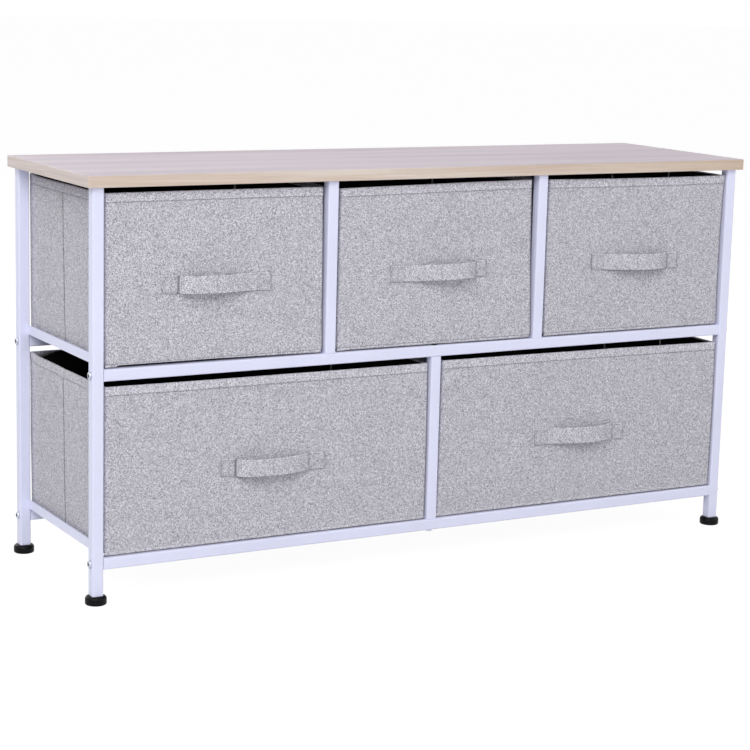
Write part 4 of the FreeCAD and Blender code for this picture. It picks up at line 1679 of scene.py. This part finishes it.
class DRESSER_OT_drawer_handles(bpy.types.Operator):
    """Build the strap handle of each drawer, with its stitches"""

    bl_idname = "dresser.drawer_handles"
    bl_label = "Drawer handles"

    def execute(self, context):
        settings = context.scene.dresser.handle
        linen, thread = bpy.data.materials["heathered_linen"], bpy.data.materials["sewing_thread"]
        for drawer in drawers():
            name = drawer.node("handle")
            strap = Strap(drawer, settings)
            piece(make_strap(strap, settings), f"{name}_strap", linen, drawer.body, [name])
            piece(make_handle_stitches(strap, settings), f"{name}_stitches", thread, drawer.body)
        return {"FINISHED"}


# The camera's lens in millimetres, its place in metres, its angles in radians and its picture's shift.
LENS = 99.919
CAMERA_PLACE = Vector((-1.423224, -2.490490, 0.785172))
CAMERA_YAW = 0.514216
CAMERA_PITCH = -0.184020
CAMERA_ROLL = 0.026020
CAMERA_SHIFT_Y = -0.01576
# The middle of the dresser, which every lamp faces.
LAMP_AIM = Vector((0, 0, 0.27))


def add_camera():
    """The camera, standing at the front left and looking slightly down."""
    yaw, pitch, roll = CAMERA_YAW, CAMERA_PITCH, CAMERA_ROLL
    forward = Vector((math.sin(yaw) * math.cos(pitch), math.cos(yaw) * math.cos(pitch), math.sin(pitch)))
    level = Vector((math.cos(yaw), -math.sin(yaw), 0))
    up = level.cross(forward)
    right = level * math.cos(roll) + up * math.sin(roll)
    top = up * math.cos(roll) - level * math.sin(roll)
    data = bpy.data.cameras.new("Camera")
    data.lens = LENS
    data.sensor_width = 36.0
    data.sensor_fit = "HORIZONTAL"
    data.shift_y = CAMERA_SHIFT_Y
    camera = bpy.data.objects.new("Camera", data)
    bpy.context.scene.collection.objects.link(camera)
    turn = Matrix((right, top, -forward)).transposed().to_4x4()
    camera.matrix_world = Matrix.Translation(CAMERA_PLACE) @ turn
    bpy.context.scene.camera = camera


def add_lamp(name, place, power, size):
    """A large square lamp that faces the middle of the dresser."""
    data = bpy.data.lights.new(name, "AREA")
    data.shape = "SQUARE"
    data.size = size
    data.energy = power
    lamp = bpy.data.objects.new(name, data)
    bpy.context.scene.collection.objects.link(lamp)
    lamp.location = place
    lamp.rotation_euler = (LAMP_AIM - Vector(place)).to_track_quat("-Z", "Y").to_euler()


class DRESSER_OT_stage(bpy.types.Operator):
    """Set up the floor, the soft light and the camera"""

    bl_idname = "dresser.stage"
    bl_label = "Stage"

    def execute(self, context):
        settings = context.scene.dresser.stage
        bm = bmesh.new()
        bmesh.ops.create_grid(bm, x_segments=2, y_segments=2, size=30.0)
        mesh = bpy.data.meshes.new("floor")
        bm.to_mesh(mesh)
        bm.free()
        mesh.materials.append(studio_floor(settings))
        floor = bpy.data.objects.new("floor", mesh)
        context.scene.collection.objects.link(floor)
        world = bpy.data.worlds.new("soft_studio")
        world.use_nodes = True
        tree = world.node_tree
        tree.nodes.clear()
        seen = seen_directly(tree)
        sky = add(
            tree,
            "ShaderNodeBackground",
            {"Color": (1, 1, 1, 1), "Strength": settings.sky_strength},
        )
        white = add(tree, "ShaderNodeBackground", {"Color": (1, 1, 1, 1), "Strength": 1.0})
        both = add(tree, "ShaderNodeMixShader", {0: seen, 1: sky.outputs[0], 2: white.outputs[0]})
        add(tree, "ShaderNodeOutputWorld", {"Surface": both.outputs[0]})
        context.scene.world = world
        add_lamp("key_lamp", (-2.2, -2.6, 2.9), settings.key_power, 2.0)
        add_lamp("front_lamp", (-1.25, -3.0, 0.86), settings.front_power, 0.5)
        add_lamp("side_lamp", (-3.0, 0.4, 2.2), settings.side_power, 1.6)
        add_lamp("fill_lamp", (2.4, -2.4, 1.4), settings.fill_power, 2.0)
        add_lamp("top_lamp", (0.2, 0.3, 3.2), settings.top_power, 2.4)
        add_lamp("back_lamp", (-0.6, 3.2, 1.5), settings.back_power, 2.0)
        add_camera()
        context.scene.view_settings.view_transform = "Standard"
        return {"FINISHED"}


OPERATORS = (
    DRESSER_OT_steel_frame,
    DRESSER_OT_fasteners,
    DRESSER_OT_feet,
    DRESSER_OT_top_board,
    DRESSER_OT_drawer_boards,
    DRESSER_OT_drawer_linings,
    DRESSER_OT_drawer_covers,
    DRESSER_OT_drawer_handles,
    DRESSER_OT_stage,
)


class DRESSER_PT_panel(bpy.types.Panel):
    """The dresser's pieces and settings"""

    bl_label = "Fabric drawer dresser"
    bl_space_type = "VIEW_3D"
    bl_region_type = "UI"
    bl_category = "Dresser"

    def draw(self, context):
        layout = self.layout
        for operator in OPERATORS:
            layout.operator(operator.bl_idname)
        settings = context.scene.dresser
        for group in ("cloth", "drawer", "handle", "frame", "board", "stage"):
            box_layout = layout.box()
            box_layout.label(text=group.capitalize())
            values = getattr(settings, group)
            for name in values.__annotations__:
                box_layout.prop(values, name)


SETTINGS = (
    DresserClothSettings,
    DresserDrawerSettings,
    DresserHandleSettings,
    DresserFrameSettings,
    DresserBoardSettings,
    DresserStageSettings,
    DresserSettings,
)


def register():
    """Registers the settings, the operators and the panel."""
    for kind in (*SETTINGS, *OPERATORS, DRESSER_PT_panel):
        bpy.utils.register_class(kind)
    bpy.types.Scene.dresser = PointerProperty(type=DresserSettings)


def unregister():
    """Removes what register added."""
    del bpy.types.Scene.dresser
    for kind in reversed((*SETTINGS, *OPERATORS, DRESSER_PT_panel)):
        bpy.utils.unregister_class(kind)


def main():
    """Builds the dressed model."""
    register()
    bpy.ops.dresser.steel_frame()
    bpy.ops.dresser.fasteners()
    bpy.ops.dresser.feet()
    bpy.ops.dresser.top_board()
    bpy.ops.dresser.drawer_boards()
    bpy.ops.dresser.drawer_linings()
    bpy.ops.dresser.drawer_covers()
    bpy.ops.dresser.drawer_handles()
    bpy.ops.dresser.stage()
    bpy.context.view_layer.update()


if __name__ == "__main__":
    main()
